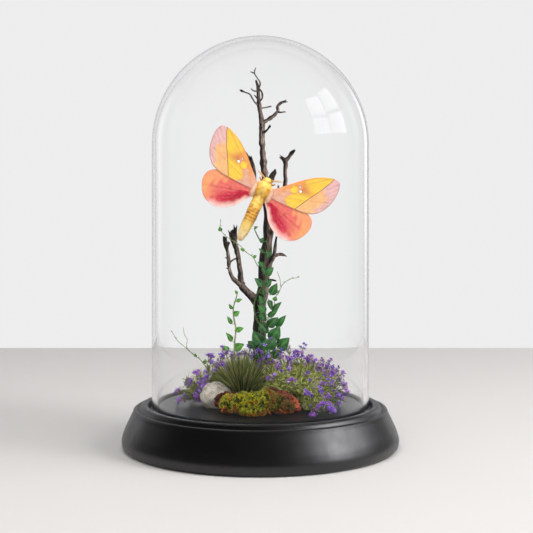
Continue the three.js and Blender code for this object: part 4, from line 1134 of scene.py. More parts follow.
# %% Fur
HAIR = 0.06  # half the thickness of a hair
THORAX_HAIRS, HEAD_HAIRS, ABDOMEN_HAIRS = 3800, 500, 3800
chance = np.random.default_rng(31)
roots, outs, lengths = [], [], []
for middle, radii, count, long in (
    ([0, -0.2, 0], (4.3, 5.3, 3.1), THORAX_HAIRS, 1.4),
    ([0, 5.2, 0], (2.4, 1.6, 1.8), HEAD_HAIRS, 0.7),
):
    spot, out = scattered_on_ball(middle, radii, count, chance)
    roots.append(spot)
    outs.append(out)
    lengths.append(np.full(count, long))
share = chance.uniform(0.05, 0.99, ABDOMEN_HAIRS)
line = smooth(ABDOMEN, 400)[(share * 399).astype(int)]
turn = chance.uniform(0, 2 * np.pi, len(share))
out = np.stack((np.cos(turn), 0 * turn, np.sin(turn)), 1)
roots.append(line[:, :3] + out * line[:, 3:] * 0.98)
outs.append(out)
lengths.append(0.8 - 0.35 * share)
roots, outs, lengths = (np.concatenate(part) for part in (roots, outs, lengths))
clumped = np.stack([ripple(roots, 1.6, seed) for seed in (24, 25, 26)], 1)
lean = np.array([0, -2.3, 0]) + 0.35 * clumped + chance.normal(size=roots.shape) * 0.2
reach = lengths * chance.uniform(0.6, 1.2, len(roots)) * (1 + 0.25 * clumped[:, 0])
tips = roots + unit(outs + lean) * reach[:, None]
WARMING = [0.6, 1.1, 1.9]  # powers for red, green and blue: a darker hair is also redder
tone = np.clip(0.88 + 0.14 * chance.normal(size=len(roots)) + 0.16 * clumped[:, 1], 0.5, 1.0)
tone = tone[:, None] ** WARMING
fur_form = spikes(on_moth(roots), on_moth(tips), HAIR, paint=np.clip(body_colour(roots) * tone, 0, 1))
print("hairs:", len(roots))

# %% Root tufts and antennae
TUFT_HAIRS = 420  # at the root of each pair of wings
tufts = []
for hand in (1, -1):
    share = chance.uniform(0, 1, TUFT_HAIRS)
    out = chance.uniform(0, 1, TUFT_HAIRS)
    high = 1.9 - 0.9 * out * out + 0.2 * chance.normal(size=TUFT_HAIRS)
    spot = np.stack((hand * (3.4 + 2.2 * out), 3.0 - 7.8 * share, high), 1)
    way = np.stack((hand * (1.0 - 0.3 * share), 0.25 - 1.3 * share, 0.45 + 0 * share), 1)
    way = unit(way + 0.4 * chance.normal(size=way.shape))
    reach = chance.uniform(0.8, 1.9, TUFT_HAIRS)[:, None] * (0.6 + 0.3 * np.sin(3 * share))[:, None]
    tone = chance.uniform(0, 1, TUFT_HAIRS)
    colour = mixed(paint("ffdec0"), paint("ffc4a0"), tone)
    colour = mixed(colour, paint("ffeeda"), step_up(tone, 0.7, 1))
    colour = mixed(paint("eeb04a"), colour, step_up(out + 0.4 * share, 0.1, 0.55))
    tufts.append(spikes(on_moth(spot), on_moth(spot + way * reach), HAIR, paint=colour))
    feeler = [[hand * 1.3, 5.9, 0.9, 0.2], [hand * 4, 6.9, 1.4, 0.16], [hand * 7, 8, 1.6, 0.08]]
    rings, ends = pipe(feeler, rows=30, columns=8)[:2]
    tufts.append(body_skin(rings, ends, paint("e0a060")))
    along = smooth(feeler, 60)[4:58, :3]
    swell = np.sin(np.linspace(0.5, 2.9, len(along)))[:, None]  # the middle barbs are long
    for side in (1, -1):
        barb = along + np.array([hand * 0.35, side * 0.75, 0]) * swell
        barbs = np.broadcast_to(paint("e8b070"), along.shape)
        tufts.append(spikes(on_moth(along), on_moth(barb), HAIR, paint=barbs))

body_hair = painted(
    "golden_fur", rough=(0.6, 0.85), scale=1800, contrast=0.14, depth_mm=0.02, Sheen_Weight=0.5,
    Sheen_Tint=(1, 0.8, 0.45, 1), Specular_IOR_Level=0.25,
)
piece("moth_body", together(body_forms), [body_hair], ["moth"])
piece("moth_fur", together([fur_form, *tufts]), [body_hair], ["moth"])

# %% [markdown]
# ## The vine and the loose shoots
# A climbing fig or ivy winds up the front of the trunk, and finer shoots stand or hang
# free beside it. A leaf has a short stalk, an egg-shaped blade with a drawn-out tip, a
# fold along its midrib and side veins that curve towards the tip. All the leaves of a
# plant are one batch of very flat skins, so the only list is where each one grows, how
# long and wide it is and how far it leans.


# %% Thin tubes
def thin_tubes(paths, radius, colour, sides=4):
    """Thin tubes along many paths at once: every ring is a small regular polygon square
    to its path."""
    tangent = unit(np.gradient(paths, axis=1))
    across = unit(np.cross(tangent, [0.31, 0.9, 0.3]))
    beside = np.cross(tangent, across)
    angle = np.arange(sides) * 2 * np.pi / sides
    ring = across[:, :, None] * np.cos(angle)[:, None] + beside[:, :, None] * np.sin(angle)[:, None]
    rings = paths[:, :, None] + ring * radius
    first = paths[:, 0] - tangent[:, 0] * radius
    last = paths[:, -1] + tangent[:, -1] * radius
    return skins(rings, first, last, paint=np.broadcast_to(colour, rings.shape))


# %% Leaf blades
def leaf_skins(roots, tips, widths, facing, tints, rows=26, columns=24, stalk=0.12, fold=0.3, arch=0.1):
    """Leaves from roots to tips. The first share of the length, called stalk, is a thin
    stem. After it the half width is the sine of half a turn, drawn towards the root.
    The blade lies along the facing's plane, folds up at its edges, arches along its
    length and waves at its rim. The colour is lighter on the midrib and the veins."""
    n = len(roots)
    along = tips - roots
    size = np.linalg.norm(along, axis=1)
    along = unit(along)
    up = unit(facing - along * (facing * along).sum(1)[:, None])
    side = np.cross(up, along)
    t = (1 - np.cos(np.pi * (np.arange(rows) + 0.6) / (rows + 0.2))) / 2
    blade = np.clip((t - stalk) / (1 - stalk), 0, 1)
    half = np.clip(np.sin(np.pi * blade**0.74), 0, None) ** 0.8 * (1.1 - 0.22 * blade)
    half = half[None, :, None] * widths[:, None, None] / 2
    turn = np.arange(columns) / columns * 2 * np.pi
    u, v = np.cos(turn), np.sin(turn)
    stem = np.minimum(0.14, widths * 0.08)[:, None, None] * np.ones((1, rows, 1))
    across = np.maximum(half, stem) * u
    swell = np.where(blade > 0, 0.11, 0.0)[None, :, None]
    fading = (1 - step_up(blade, 0, 0.2))[None, :, None]
    thick = np.maximum(stem * fading, swell * np.sqrt(t)[None, :, None])
    kind = np.arange(n)[:, None, None]
    lateral = np.abs(((blade[None, :, None] * 7 - 1.6 * np.abs(u)) % 1) - 0.5) * 2
    wave = 0.12 * half * u**2 * np.sin(9 * blade[None, :, None] + 2.2 * kind + 1.5 * u)
    raised = fold * np.abs(across) + wave - 0.05 * half * step_up(lateral, 0.7, 1.0)
    bow = (arch * 4 * t * (1 - t) - 0.05 * t**3)[None, :, None] * size[:, None, None]
    high = bow + raised + thick * v
    middle = roots[:, None] + along[:, None] * (size[:, None] * t)[..., None]
    rings = middle[:, :, None] + side[:, None, None] * across[..., None] + up[:, None, None] * high[..., None]
    rib = 1 - step_up(np.abs(across), 0.05, 0.16)
    vein = step_up(lateral, 0.8, 1.0) * step_up(blade[None, :, None], 0.02, 0.1)
    spot = ripple(rings, 2.0, 77)
    deep, light, pale = tints
    tone = 0.42 + 0.3 * np.sin(kind * 2.7) + 0.22 * spot + 0.15 * u * np.sin(kind * 1.3)
    colour = mixed(deep, light, tone)
    colour = mixed(colour, pale, 0.55 * rib + 0.28 * vein * (1 - rib))
    colour = mixed(colour, pale, 0.5 * (v < -0.05) * np.ones_like(rib))
    colour = mixed(colour, pale, 0.7 * (blade <= 0)[None, :, None] * np.ones_like(rib))
    top = tips + up * (bow[:, -1, 0] - 0.01)[:, None]
    return skins(rings, roots - along * 0.05, top, paint=colour)


# %% Leaves on a stem
def leaves_on(stations, leaves, tints):
    """Leaves given as (y, x, z, length, lean, width), each from the nearest point of the
    stem, leaning so many degrees to the right of upright and a little to the front."""
    line = smooth(stations, 500)[:, :3]
    y, x, z, length, lean, width = np.array(leaves, float).T
    spot = np.stack((x, y, z), 1)
    stem = line[np.argmin(np.linalg.norm(line[None] - spot[:, None], axis=2), axis=1)]
    turn = np.sin(np.arange(len(spot)) * 2.4)
    angle = np.radians(lean)
    tips = spot + np.stack((np.sin(angle), -0.12 - 0.1 * turn, np.cos(angle)), 1) * length[:, None]
    facing = np.stack((0.35 * turn, -1 + 0 * turn, 0.35 + 0 * turn), 1)
    t = np.linspace(0, 1, 10)[None, :, None]
    heading = unit(tips - spot)
    bend = heading[:, None] * (0.25 * np.linalg.norm(spot - stem, axis=1))[:, None, None] * (t * t - t)
    stalks = thin_tubes(stem[:, None] * (1 - t) + spot[:, None] * t + bend, 0.16, tints[1] * 0.8, sides=6)
    blades = leaf_skins(spot - heading * 0.1, tips, width * 1.22, facing, tints, stalk=0.05)
    return together([stalks, blades])


# %% Stems
def stem_skin(stations, colour, columns=10, knots=0.12):
    """A green stem with a slight thickening at every joint."""
    span = sum(np.linalg.norm(np.diff(np.array(stations)[:, :3], axis=0), axis=1))
    joints = lambda angle, length, radius: knots * np.cos(length * 2 * np.pi / 4.2) ** 6
    rings, ends = pipe(stations, int(span / 0.35) + 8, columns, joints)[:2]
    tone = mixed(colour, colour * 0.55, 0.5 + 0.5 * ripple(rings, 3, 9))
    return one_skin(rings, ends, tone)


# %% Where the leaves grow
# Each leaf is (y, x, z, length, lean, width) in millimetres and degrees.
VINE_LEAVES = [
    [-1, 0.1, 103.2, 3, 31, 1.9], [-1, 1.3, 98, 3.1, -42, 1.6], [-2, 3.3, 95.4, 4.4, 36, 2.5],
    [-1, 1.3, 91, 3.6, -45, 2.3], [-3, 1.1, 90.9, 4.1, 158, 2], [-2, 3.3, 86.3, 5.6, 36, 3],
    [-2, 0.8, 80.9, 5.7, -40, 3.3], [-3, 3.2, 80.7, 4.6, 34, 2.5], [-2, 5.2, 76.6, 6.9, 28, 3.6],
    [-2, 1.6, 76.6, 3.3, -4, 2], [-2, 2, 72.1, 5.1, -32, 2.5], [-2, 4.1, 74.3, 5.3, 165, 2.5],
    [-3, 2.8, 68.1, 5.4, -49, 3], [-1, 5.9, 67.9, 7.1, 42, 2.5], [-3, 3.8, 65.5, 6.6, 50, 2.5],
    [-2, -0.2, 68, 5.6, 145, 3], [-3, 3.6, 60.7, 7.2, 48, 4], [0, 8, 60, 8, 38, 3],
    [-4, -0.5, 62.6, 6.9, 137, 4.2], [-4, 4.9, 54, 8.8, 33, 5.3], [-4, 0.8, 51.5, 8.6, -32, 5.2],
    [-3, 8.9, 49.1, 8.4, 43, 5.2], [-6, 3.8, 49.7, 7.2, 29, 4.8], [-3, -2.5, 50.4, 4.9, -52, 3.3],
    [-6, 1.1, 48.7, 6.6, 18, 4.2], [-5, -0.4, 45.4, 5.6, -30, 3.6], [-6, 2.6, 43.8, 6, 22, 4],
    [-5.5, 5.6, 45.6, 5.6, 50, 3.6],
]
SHOOT_LEAVES = [
    [0, -11.8, 77.1, 2.2, -30, 1.2], [0, -12.2, 73.2, 3.2, 66, 1.6], [0, -14.2, 69.3, 3.3, -35, 1.4],
    [0, -13.5, 66.2, 3.6, 55, 2.5], [0, -14.5, 61.7, 4.7, -30, 1.8], [0, -12.4, 58.1, 4.2, 66, 2.5],
    [0, -14.5, 52.8, 5.6, -32, 2.3], [0, -13.2, 48.5, 5.8, 57, 3.6], [0, -16.2, 48, 3.6, -39, 2],
]
UPPER_LEAVES = [
    [-1.5, -3.6, 95.4, 2.2, 50, 1.4], [-2.2, -8.2, 99, 2.4, -60, 1.5], [-3, -19.9, 109, 2.4, -20, 1.8],
]
RIGHT_LEAVES = [[-1, 7.1, 73.6, 2.6, 20, 2], [-1.4, 9, 77.6, 1.8, -30, 1.3]]
FAR_LEAVES = [
    [2, -28.6, 41.2, 2.6, 15, 1.7], [2, -27.6, 39, 2.2, 120, 1.5], [0.6, -32.8, 45, 2, -20, 1.3],
    [2, -24.2, 33.6, 3.4, 60, 2.2],
]
print("leaves on the vine and the shoot:", len(VINE_LEAVES), len(SHOOT_LEAVES))

# %% Where the strands run
# Each strand is a list of (x, y, z, radius) from its root to its tip.
STRANDS = {
    "vine_tip": [[0.6, -0.6, 103, 0.35], [-1.4, -1, 106.5, 0.3], [-3.2, -1.5, 110.4, 0.25]],
    "left_shoot": [
        [-12.4, -1, 21.8, 0.45], [-12.9, 0, 38.3, 0.4], [-13.2, 0, 51.5, 0.4], [-12.6, 0.4, 60.2, 0.35],
        [-13.5, 0.6, 64.6, 0.35], [-13.7, 0.4, 70.4, 0.3], [-12.6, 0, 74.2, 0.3], [-11.6, -0.6, 77.8, 0.25],
    ],
    "upper_tendril": [
        [-1.2, 0.4, 91, 0.35], [-2.2, -1, 92.9, 0.35], [-3.8, -2, 95.8, 0.3], [-7.3, -2.6, 98.5, 0.3],
        [-10.6, -2.6, 102, 0.3], [-14.4, -3, 104.4, 0.28], [-17.9, -3.4, 106.9, 0.25],
        [-20.3, -3, 110.2, 0.25], [-20.1, -2, 114.7, 0.2],
    ],
    "right_tendril": [
        [2.8, 0.2, 63.5, 0.35], [5.6, -0.6, 66.6, 0.3], [7.1, -1, 72, 0.3], [7.1, -1, 74.7, 0.28],
        [9.3, -1.4, 77.7, 0.28], [11.1, -2, 81.7, 0.25], [14.2, -2.4, 84.3, 0.25], [19.9, -3, 85.8, 0.2],
    ],
    "right_tendril_fork": [[10.4, -1.8, 80.2, 0.25], [10, -2.6, 84.1, 0.22], [8.5, -3.4, 88.7, 0.2]],
    "far_left_tendril": [
        [-22, 4, 21.8, 0.35], [-22.8, 3, 30, 0.35], [-26.6, 2, 37.5, 0.3], [-30.6, 1, 43.4, 0.3],
        [-35.1, 0, 46.9, 0.28], [-38.7, -1.4, 50.5, 0.25], [-42, -2, 53.4, 0.25], [-45.2, -2, 58.6, 0.2],
    ],
    "far_left_tendril_fork": [
        [-34.9, 0, 46.7, 0.28], [-37.8, 1, 50.8, 0.25], [-37.4, 1.8, 53.4, 0.22], [-38.9, 2.4, 56, 0.22],
        [-39.5, 3, 59.6, 0.2],
    ],
}


def vine_station(height):
    """The stem of the vine at a height: beside the trunk's axis by its radius and a
    gap, swinging round the front as a sine of the height."""
    known = np.array(BRANCH["trunk"][0])
    x, y, radius = (np.interp(height, known[:, 2], known[:, column]) for column in (0, 1, 3))
    swing = 0.9 * np.sin(height / 6.5)
    reach = radius + 1.1
    thickness = 0.45 * (1.3 - height / 160)
    return np.stack((x + reach * np.sin(swing), y - reach * np.cos(swing), height, thickness), -1)


print("strands:", len(STRANDS), "vine at its foot:", vine_station(22.0).round(1))


# %% Climbing vine
leaf_finish = dict(Specular_IOR_Level=0.5, Coat_Weight=0.15)
vine_leaf = painted(
    "vine_leaf", rough=(0.32, 0.55), scale=1500, contrast=0.35, depth_mm=0.03, **leaf_finish,
)
shoot_leaf = painted(
    "shoot_leaf", rough=(0.4, 0.6), scale=1500, contrast=0.35, depth_mm=0.02, **leaf_finish,
)
DEEP_GREENS = paint("10381a"), paint("2a6b2c"), paint("66994e")
FRESH_GREENS = paint("265f1c"), paint("519431"), paint("92bc66")
vine_line = vine_station(np.linspace(22.0, 104, 60))
vine_forms = [
    stem_skin(vine_line, paint("4f6b34"), columns=12),
    stem_skin(STRANDS["vine_tip"], paint("5d6b3c"), columns=8),
    leaves_on(vine_line, VINE_LEAVES, DEEP_GREENS),
    leaf_skins(np.array([[-3.3, -1.5, 110.2]]), np.array([[-1.2, -1.9, 111.4]]), np.array([1.6]),
               np.array([[0.1, -1, 0.4]]), FRESH_GREENS),
]
piece("climbing_vine", together(vine_forms), [vine_leaf], ["climbing_vine"])

# %% Shoot and tendrils
OLIVE = paint("8c9660")
shoots = {
    "left_shoot": (["left_shoot"], SHOOT_LEAVES),
    "upper_tendril": (["upper_tendril"], UPPER_LEAVES),
    "right_tendril": (["right_tendril", "right_tendril_fork"], RIGHT_LEAVES),
    "far_left_tendril": (["far_left_tendril", "far_left_tendril_fork"], FAR_LEAVES),
}
for name, (stems, leaves) in shoots.items():
    slim = np.array([1, 1, 1, 1.0 if name == "left_shoot" else 0.6])
    forms = [stem_skin(np.array(STRANDS[stem]) * slim, OLIVE, columns=8) for stem in stems]
    forms.append(leaves_on(STRANDS[name], leaves, FRESH_GREENS))
    line = smooth(STRANDS[name], 60)[:, :3]
    buds = line[np.arange(13, 60, 5)]
    sway = np.stack((np.sin(buds[:, 2] * 3), np.cos(buds[:, 2] * 2) * 0.5, 0.8 + 0 * buds[:, 2]), 1)
    ends = buds + unit(sway) * 1.1
    facing = np.array([[0, -1, 0.3]]) + 0 * buds
    forms.append(leaf_skins(buds, ends, np.full(len(buds), 0.5), facing, FRESH_GREENS, rows=8, columns=8))
    piece(name, together(forms), [shoot_leaf], [name])

# %% [markdown]
# ## Stone, bark and moss
# A pale worn stone lies at the back left. In front of it is a slab of reddish bark with
# a rotten, crumbling end, grown over with cushions of moss. Stone and bark are rounded
# forms pushed in and out by uneven fields of several sizes. Moss isn't a surface but a
# crowd of fine upright shoots, so the cushions carry thousands of short spikes, bright
# at the tip of a cushion, painted a shaded olive in its creases and rusty at its foot.

# %% Rounded lumps
FLOOR = 21.8  # where everything stands, just clear of the deck


def rough_ball(middle, radii, reliefs, rows=90, columns=120):
    """A stretched ball. Each relief is (size, share, seed): an uneven field of that
    size that moves the surface by that share of the radius. It stops at the floor. It
    also returns how far out the surface was moved."""
    rings, poles = ball([0, 0, 0], radii, rows, columns)
    moved = sum(share * ripple(rings, size, seed) for size, share, seed in reliefs)
    moved_poles = sum(share * ripple(poles, size, seed) for size, share, seed in reliefs)
    rings = np.array(middle) + rings * (1 + moved[..., None])
    poles = np.array(middle) + poles * (1 + moved_poles[..., None])
    for spots in (rings, poles):
        spots[..., 2] = np.maximum(spots[..., 2], FLOOR)
    return rings, poles, moved


print("everything stands at", FLOOR, "mm")


# %% Stone
DENTS = [(9, 0.05, 3), (3.4, 0.022, 4), (1.1, 0.008, 5)]  # broad, small and fine
rings, poles, moved = rough_ball([-21.6, -11.5, 26.6], (8.2, 7.9, 7.4), DENTS)
specks = ripple(rings, 0.75, 8)
blotch = ripple(rings, 4.5, 9)
colour = mixed(paint("a0968a"), paint("c6beb0"), 0.5 + 0.5 * blotch)
colour = mixed(colour, paint("544c42"), step_up(specks, 0.5, 1.4) * 0.7 + step_up(-moved, 0.03, 0.09) * 0.5)
colour = mixed(colour, paint("d6cfc0"), step_up(-specks, 0.8, 1.6) * 0.7)
colour = mixed(colour, paint("6c6a4c"), step_up(25.5 - rings[..., 2] + blotch, 0, 3.5) * 0.55)
stone_grain = painted(
    "pale_stone", rough=(0.8, 0.97), scale=1400, contrast=0.7, depth_mm=0.12,
    Specular_IOR_Level=0.25,
)
piece("stone", one_skin(rings, poles, colour), [stone_grain], ["stone"])

# %% Shape and colours of the bark
BARK = [[-21.3, -21, 26, 2.2], [-17.5, -23.2, 26.8, 3.8], [-10, -26.5, 25, 4.2], [0, -28.5, 25.6, 4.6],
        [8, -27.5, 26.9, 4.7], [14, -25.5, 25.6, 3.8], [17.6, -25, 23.8, 1.8]]


def bark_relief(angle, length, radius):
    """Plates and cracks: a ridged field a little longer than it is wide."""
    spot = np.stack((radius * np.cos(angle), radius * np.sin(angle), length / 1.6), -1)
    plates = 0.24 * (1 - 1.6 * np.abs(ripple(spot, 3.4, 41)))
    return plates + 0.1 * ripple(spot, 1.3, 42) + 0.12 * ripple(spot, 7, 43) - 0.06


def crumbs(rings, seed):
    """Bark colours: maroon to the left, red brown and coral to the right, dark in the
    cracks."""
    patch, fine = ripple(rings, 4, seed), ripple(rings, 0.9, seed + 1)
    right = step_up(rings[..., 0] + 3 * patch, 4, 15)
    colour = mixed(paint("331917"), paint("5c2b24"), 0.5 + 0.4 * patch)
    colour = mixed(colour, mixed(paint("4f241d"), paint("91503a"), 0.5 + 0.5 * fine), right)
    colour = mixed(colour, paint("dd7352"), step_up(rings[..., 0] + 2 * fine, 15, 18.5) * 0.8)
    return mixed(colour, paint("1c0c0a"), step_up(-fine - 0.4 * patch, 0.3, 1.1) * 0.85)


# %% Bark, lumps and rootlets
# Each lump is a middle and three radii, and each rootlet a start and an end.
LUMPS = [
    ([16.4, -25.8, 24.2], (2.5, 2.3, 2.2)), ([14.2, -28.2, 23.6], (2.4, 2.0, 1.8)),
    ([18.2, -24.4, 23.2], (1.6, 1.7, 1.3)), ([-19.4, -22.4, 27.8], (2.2, 2.0, 2.4)),
    ([11.2, -25.5, 30.0], (2.6, 2.0, 1.8)), ([5.0, -26.5, 32.4], (3.2, 2.2, 1.5)),
]
ROOTLETS = [
    ([-12.0, -31.5, 29.5], [-13.3, -34.6, 22.4]), ([-16.5, -30.8, 26], [-18.6, -33.2, 22.6]),
    ([-4, -36.5, 26.0], [-6.5, -39.6, 22.3]), ([3.4, -35.5, 25.5], [4.6, -38.2, 22.4]),
    ([9.4, -34.5, 24.6], [12.2, -36.2, 22.3]),
]
rings, ends = pipe(BARK, rows=170, columns=110, relief=bark_relief, splinter=0.8, seed=2)[:2]
rings[..., 2] = np.maximum(rings[..., 2], FLOOR)
bark_forms = [one_skin(rings, ends, crumbs(rings, 51))]
for number, (middle, radii) in enumerate(LUMPS):
    reliefs = [(1.8, 0.16, 60 + number), (0.7, 0.08, 80 + number)]
    rings, poles = rough_ball(middle, radii, reliefs, rows=40, columns=50)[:2]
    bark_forms.append(one_skin(rings, poles, crumbs(rings, 70 + number)))
for number, (root, end) in enumerate(np.array(ROOTLETS)):
    stations = []
    for share in (0, 0.3, 0.6, 1):
        sway = np.array([0.4 * np.sin(5 * share + number), 0, 0])
        stations.append([*(root + (end - root) * share + sway), 0.42 - 0.2 * share])
    fibres = wood_relief(90 + number, 0.9)
    rings, ends = pipe(stations, rows=26, columns=9, relief=fibres, splinter=0.6, seed=number)[:2]
    rust = mixed(paint("b5642c"), paint("6e3413"), 0.5 + 0.5 * ripple(rings, 1.2, number))
    bark_forms.append(one_skin(rings, ends, rust))
crumbling = painted(
    "crumbling_bark", rough=(0.72, 0.96), scale=1300, contrast=0.7, depth_mm=0.15,
    Specular_IOR_Level=0.25,
)
piece("bark", together(bark_forms), [crumbling], ["bark"])

# %% Shape and colours of the moss
# Each cushion is a middle and three radii.
CUSHIONS = [
    [[-14.5, -27.5, 25.6], [5.2, 5.4, 5.2]], [[-8.5, -30.8, 26.8], [5.6, 5.6, 5.6]],
    [[-2.5, -32.2, 27.2], [5.6, 5.9, 5.4]], [[3.2, -31.2, 28], [5.4, 5.8, 6]],
    [[8.4, -30.2, 26.4], [5, 5.4, 4.9]], [[12.6, -29, 24.4], [4, 4.2, 3.4]],
    [[-3.5, -35.6, 23.4], [6.6, 4, 2.9]],
]
LIME, MOSS_GREEN, OLIVE_SHADE, RUST = paint("bcb414"), paint("606c0a"), paint("1d2006"), paint("964c16")


def moss_paint(points, depth):
    """Lime on what stands out, olive painted shade in the creases, rusty towards the floor."""
    patch = ripple(points, 5.5, 101)
    fine = ripple(points, 1.3, 102)
    brown = step_up(points[..., 0] + 4 * patch, -1, 10)
    colour = mixed(MOSS_GREEN, LIME, 0.55 + 0.5 * fine + 0.35 * patch - 0.5 * brown)
    colour = mixed(colour, mixed(paint("2e1a0a"), paint("7a4416"), 0.5 + 0.5 * fine), brown * 0.78)
    # painted shade: darker olive in the creases and in broad patches
    shade = step_up(-depth - 0.3 * fine, 0.0, 0.7) + step_up(-patch, 0.7, 1.3) * 0.6
    colour = mixed(colour, OLIVE_SHADE, shade)
    low = step_up(24.4 - points[..., 2] + 1.2 * patch + 0.8 * fine, 0, 2.6)
    colour = mixed(colour, RUST, low * 0.75)
    colour = mixed(colour, paint("8a4616"), step_up(fine + patch, 0.9, 1.6) * 0.8)
    return mixed(colour, paint("3a1d0c"), step_up(-fine, 0.8, 1.5) * low * 0.8)


def moss_depth(points):
    """How proud of the cushion a spot stands, from creases a few millimetres apart."""
    return 0.5 - np.abs(ripple(points, 3.0, 111)) + 0.35 * ripple(points, 1.2, 112)


# %% Cushions and shoots
UNDER = 0.93  # the ground of a cushion lies at this share of its size
SHOOTS = 70  # times a cushion's first and second radius, how many shoots it has
chance = np.random.default_rng(7)
cushion_forms, roots, outs = [], [], []
for middle, radii in CUSHIONS:
    radii = np.array(radii)
    rings, poles = ball(middle, radii * UNDER, rows=44, columns=64)
    depth = moss_depth(rings)
    away = unit((rings - middle) / radii**2)
    rings = rings + away * (0.55 * depth)[..., None]
    rings[..., 2] = np.maximum(rings[..., 2], FLOOR)
    poles[..., 2] = np.maximum(poles[..., 2], FLOOR)
    # painted shade: the cushion's skin under the shoots takes their colour at six tenths, and the shoots are
    # painted a quarter lighter
    under = moss_paint(rings, depth) * 0.6
    cushion_forms.append(one_skin(rings, poles, under))
    count = int(SHOOTS * radii[0] * radii[1])
    spot, out = scattered_on_ball(middle, radii * UNDER, count, chance)
    inside = np.zeros(len(spot), bool)
    for other, size in CUSHIONS:
        if other is not middle:
            inside |= np.linalg.norm((spot - other) / (np.array(size) * 0.9), axis=1) < 1
    keep = ~inside & (spot[:, 2] > FLOOR + 0.3)
    roots.append(spot[keep])
    outs.append(out[keep])
roots, outs = np.concatenate(roots), np.concatenate(outs)
depth = moss_depth(roots)
roots = roots + outs * (0.55 * depth - 0.1)[:, None]
way = unit(outs + [0, 0, 0.35] + 0.45 * chance.normal(size=roots.shape))
reach = 0.62 * chance.uniform(0.5, 1.3, len(roots)) * (1 + 0.5 * depth)
tips = roots + way * reach[:, None]
tips[:, 2] = np.maximum(tips[:, 2], FLOOR + 0.05)
bright = np.clip(0.75 + 0.45 * chance.uniform(-1, 1.2, len(roots)), 0.3, 1.5)[:, None]
fronds = spikes(roots, tips, 0.15, paint=np.clip(moss_paint(roots, depth) * bright * 1.25, 0, 1))
moss_finish = painted(
    "moss_shoots", rough=(0.85, 0.98), scale=1200, contrast=0.5, depth_mm=0.08,
    Specular_IOR_Level=0.15, Sheen_Weight=0.15,
)
piece("moss_cushions", together(cushion_forms), [moss_finish], ["moss"])
piece("moss_fronds", fronds, [moss_finish], ["moss"])

# %% [markdown]
# ## The grass tuft
# A dry tuft of fine grass fans out behind the moss. Each blade is a narrow strip with a
# crease, wider than it is thick, that rises almost straight and bends out near its tip.
# All the blades are one batch of skins along curves. The ones at the rim of the tuft
# are shorter and lean further out, and some dead ones among them are straw coloured.


# %% Blades of grass
def grass_blades(middle, count, height, spread, chance, rows=7):
    """Blades from a round crown. A blade's share of the way out sets its height and
    lean, and its sideways drift grows as the square of the way up."""
    out = np.sqrt(chance.uniform(0, 1, count))
    turn = chance.uniform(0, 2 * np.pi, count)
    tall = height * (1 - 0.38 * out**2.4) * chance.uniform(0.72, 1.0, count)
    t = np.linspace(0, 1, rows + 1)[:, None, None]
    way = np.stack((np.cos(turn), np.sin(turn), 0 * turn), 1)
    drift = np.stack((-np.sin(turn), np.cos(turn), 0 * turn), 1) * chance.normal(0, 0.9, count)[:, None]
    root = way * (3.4 * out)[:, None]
    lean = way * (spread * out)[:, None]
    bend = 0.5 * t + 0.5 * t**2.2
    path = np.array([*middle, FLOOR + 0.3]) + root + lean * bend + drift * t**2 * 1.5
    path = path + np.array([0, 0, 1.0]) * (tall[:, None] * (t - 0.1 * t**3 * out[None, :, None]))
    path = path.transpose(1, 0, 2)
    tangent = unit(np.gradient(path, axis=1))
    facing = chance.normal(size=(count, 3))[:, None] * [1, 1, 0.1]
    across = unit(np.cross(tangent, facing))
    beside = np.cross(tangent, across)
    width = (0.23 * (1 - np.linspace(0, 1, rows + 1) ** 2.5) + 0.035)[None, :, None]
    angle = np.arange(3) * 2 * np.pi / 3
    ring = across[:, :, None] * np.cos(angle)[:, None] + beside[:, :, None] * (0.42 * np.sin(angle))[:, None]
    rings = path[:, :, None] + ring * width[..., None]
    kind = chance.uniform(0, 1, count)[:, None, None]
    up = np.linspace(0, 1, rows + 1)[None, :, None] * np.ones((count, 1, 3))
    colour = mixed(paint("283813"), paint("637537"), kind * 1.2 - 0.1 + 0 * up)
    colour = mixed(colour, paint("b3a26c"), step_up(kind, 0.62, 0.9) * (0.3 + 0.7 * up))
    colour = mixed(colour, paint("28330f"), (1 - step_up(up, 0.0, 0.4)) * 0.55)
    colour = mixed(colour, paint("7d8350"), step_up(up, 0.65, 1) * 0.3)
    return skins(rings[:, :-1], path[:, 0] - [0, 0, 0.1], path[:, -1], paint=colour[:, :-1])


# %% Grass tuft
chance = np.random.default_rng(17)
TUFT = (-8.6, -8.5)
blades = grass_blades(TUFT, count=1000, height=29.5, spread=14.5, chance=chance)
reliefs = [(1.5, 0.12, 121)]
rings, poles = rough_ball([*TUFT, FLOOR + 0.9], (4.4, 4.4, 1.6), reliefs, rows=20, columns=40)[:2]
crown = one_skin(rings, poles, paint("4a4a22"))
dry_grass = painted(
    "dry_grass", rough=(0.5, 0.75), scale=1600, contrast=0.4, depth_mm=0.02, stretch=(1, 1, 0.1),
    Specular_IOR_Level=0.35,
)
piece("grass_tuft", together([blades, crown]), [dry_grass], ["grass_tuft"])

# %% [markdown]
# ## Dried flowers
# Three clumps of a small heath-like plant stand round the trunk. Thin wiry sprigs fan
# out from one root, set all the way with whorls of narrow yellow-green leaflets, and
# end in little heads of violet flowers. A floret is five petals round a short throat.
# A list gives the places of the heads that show from the front. The ones behind and the
# leafy sprigs between them are spread by the golden angle over the same rounded shape.

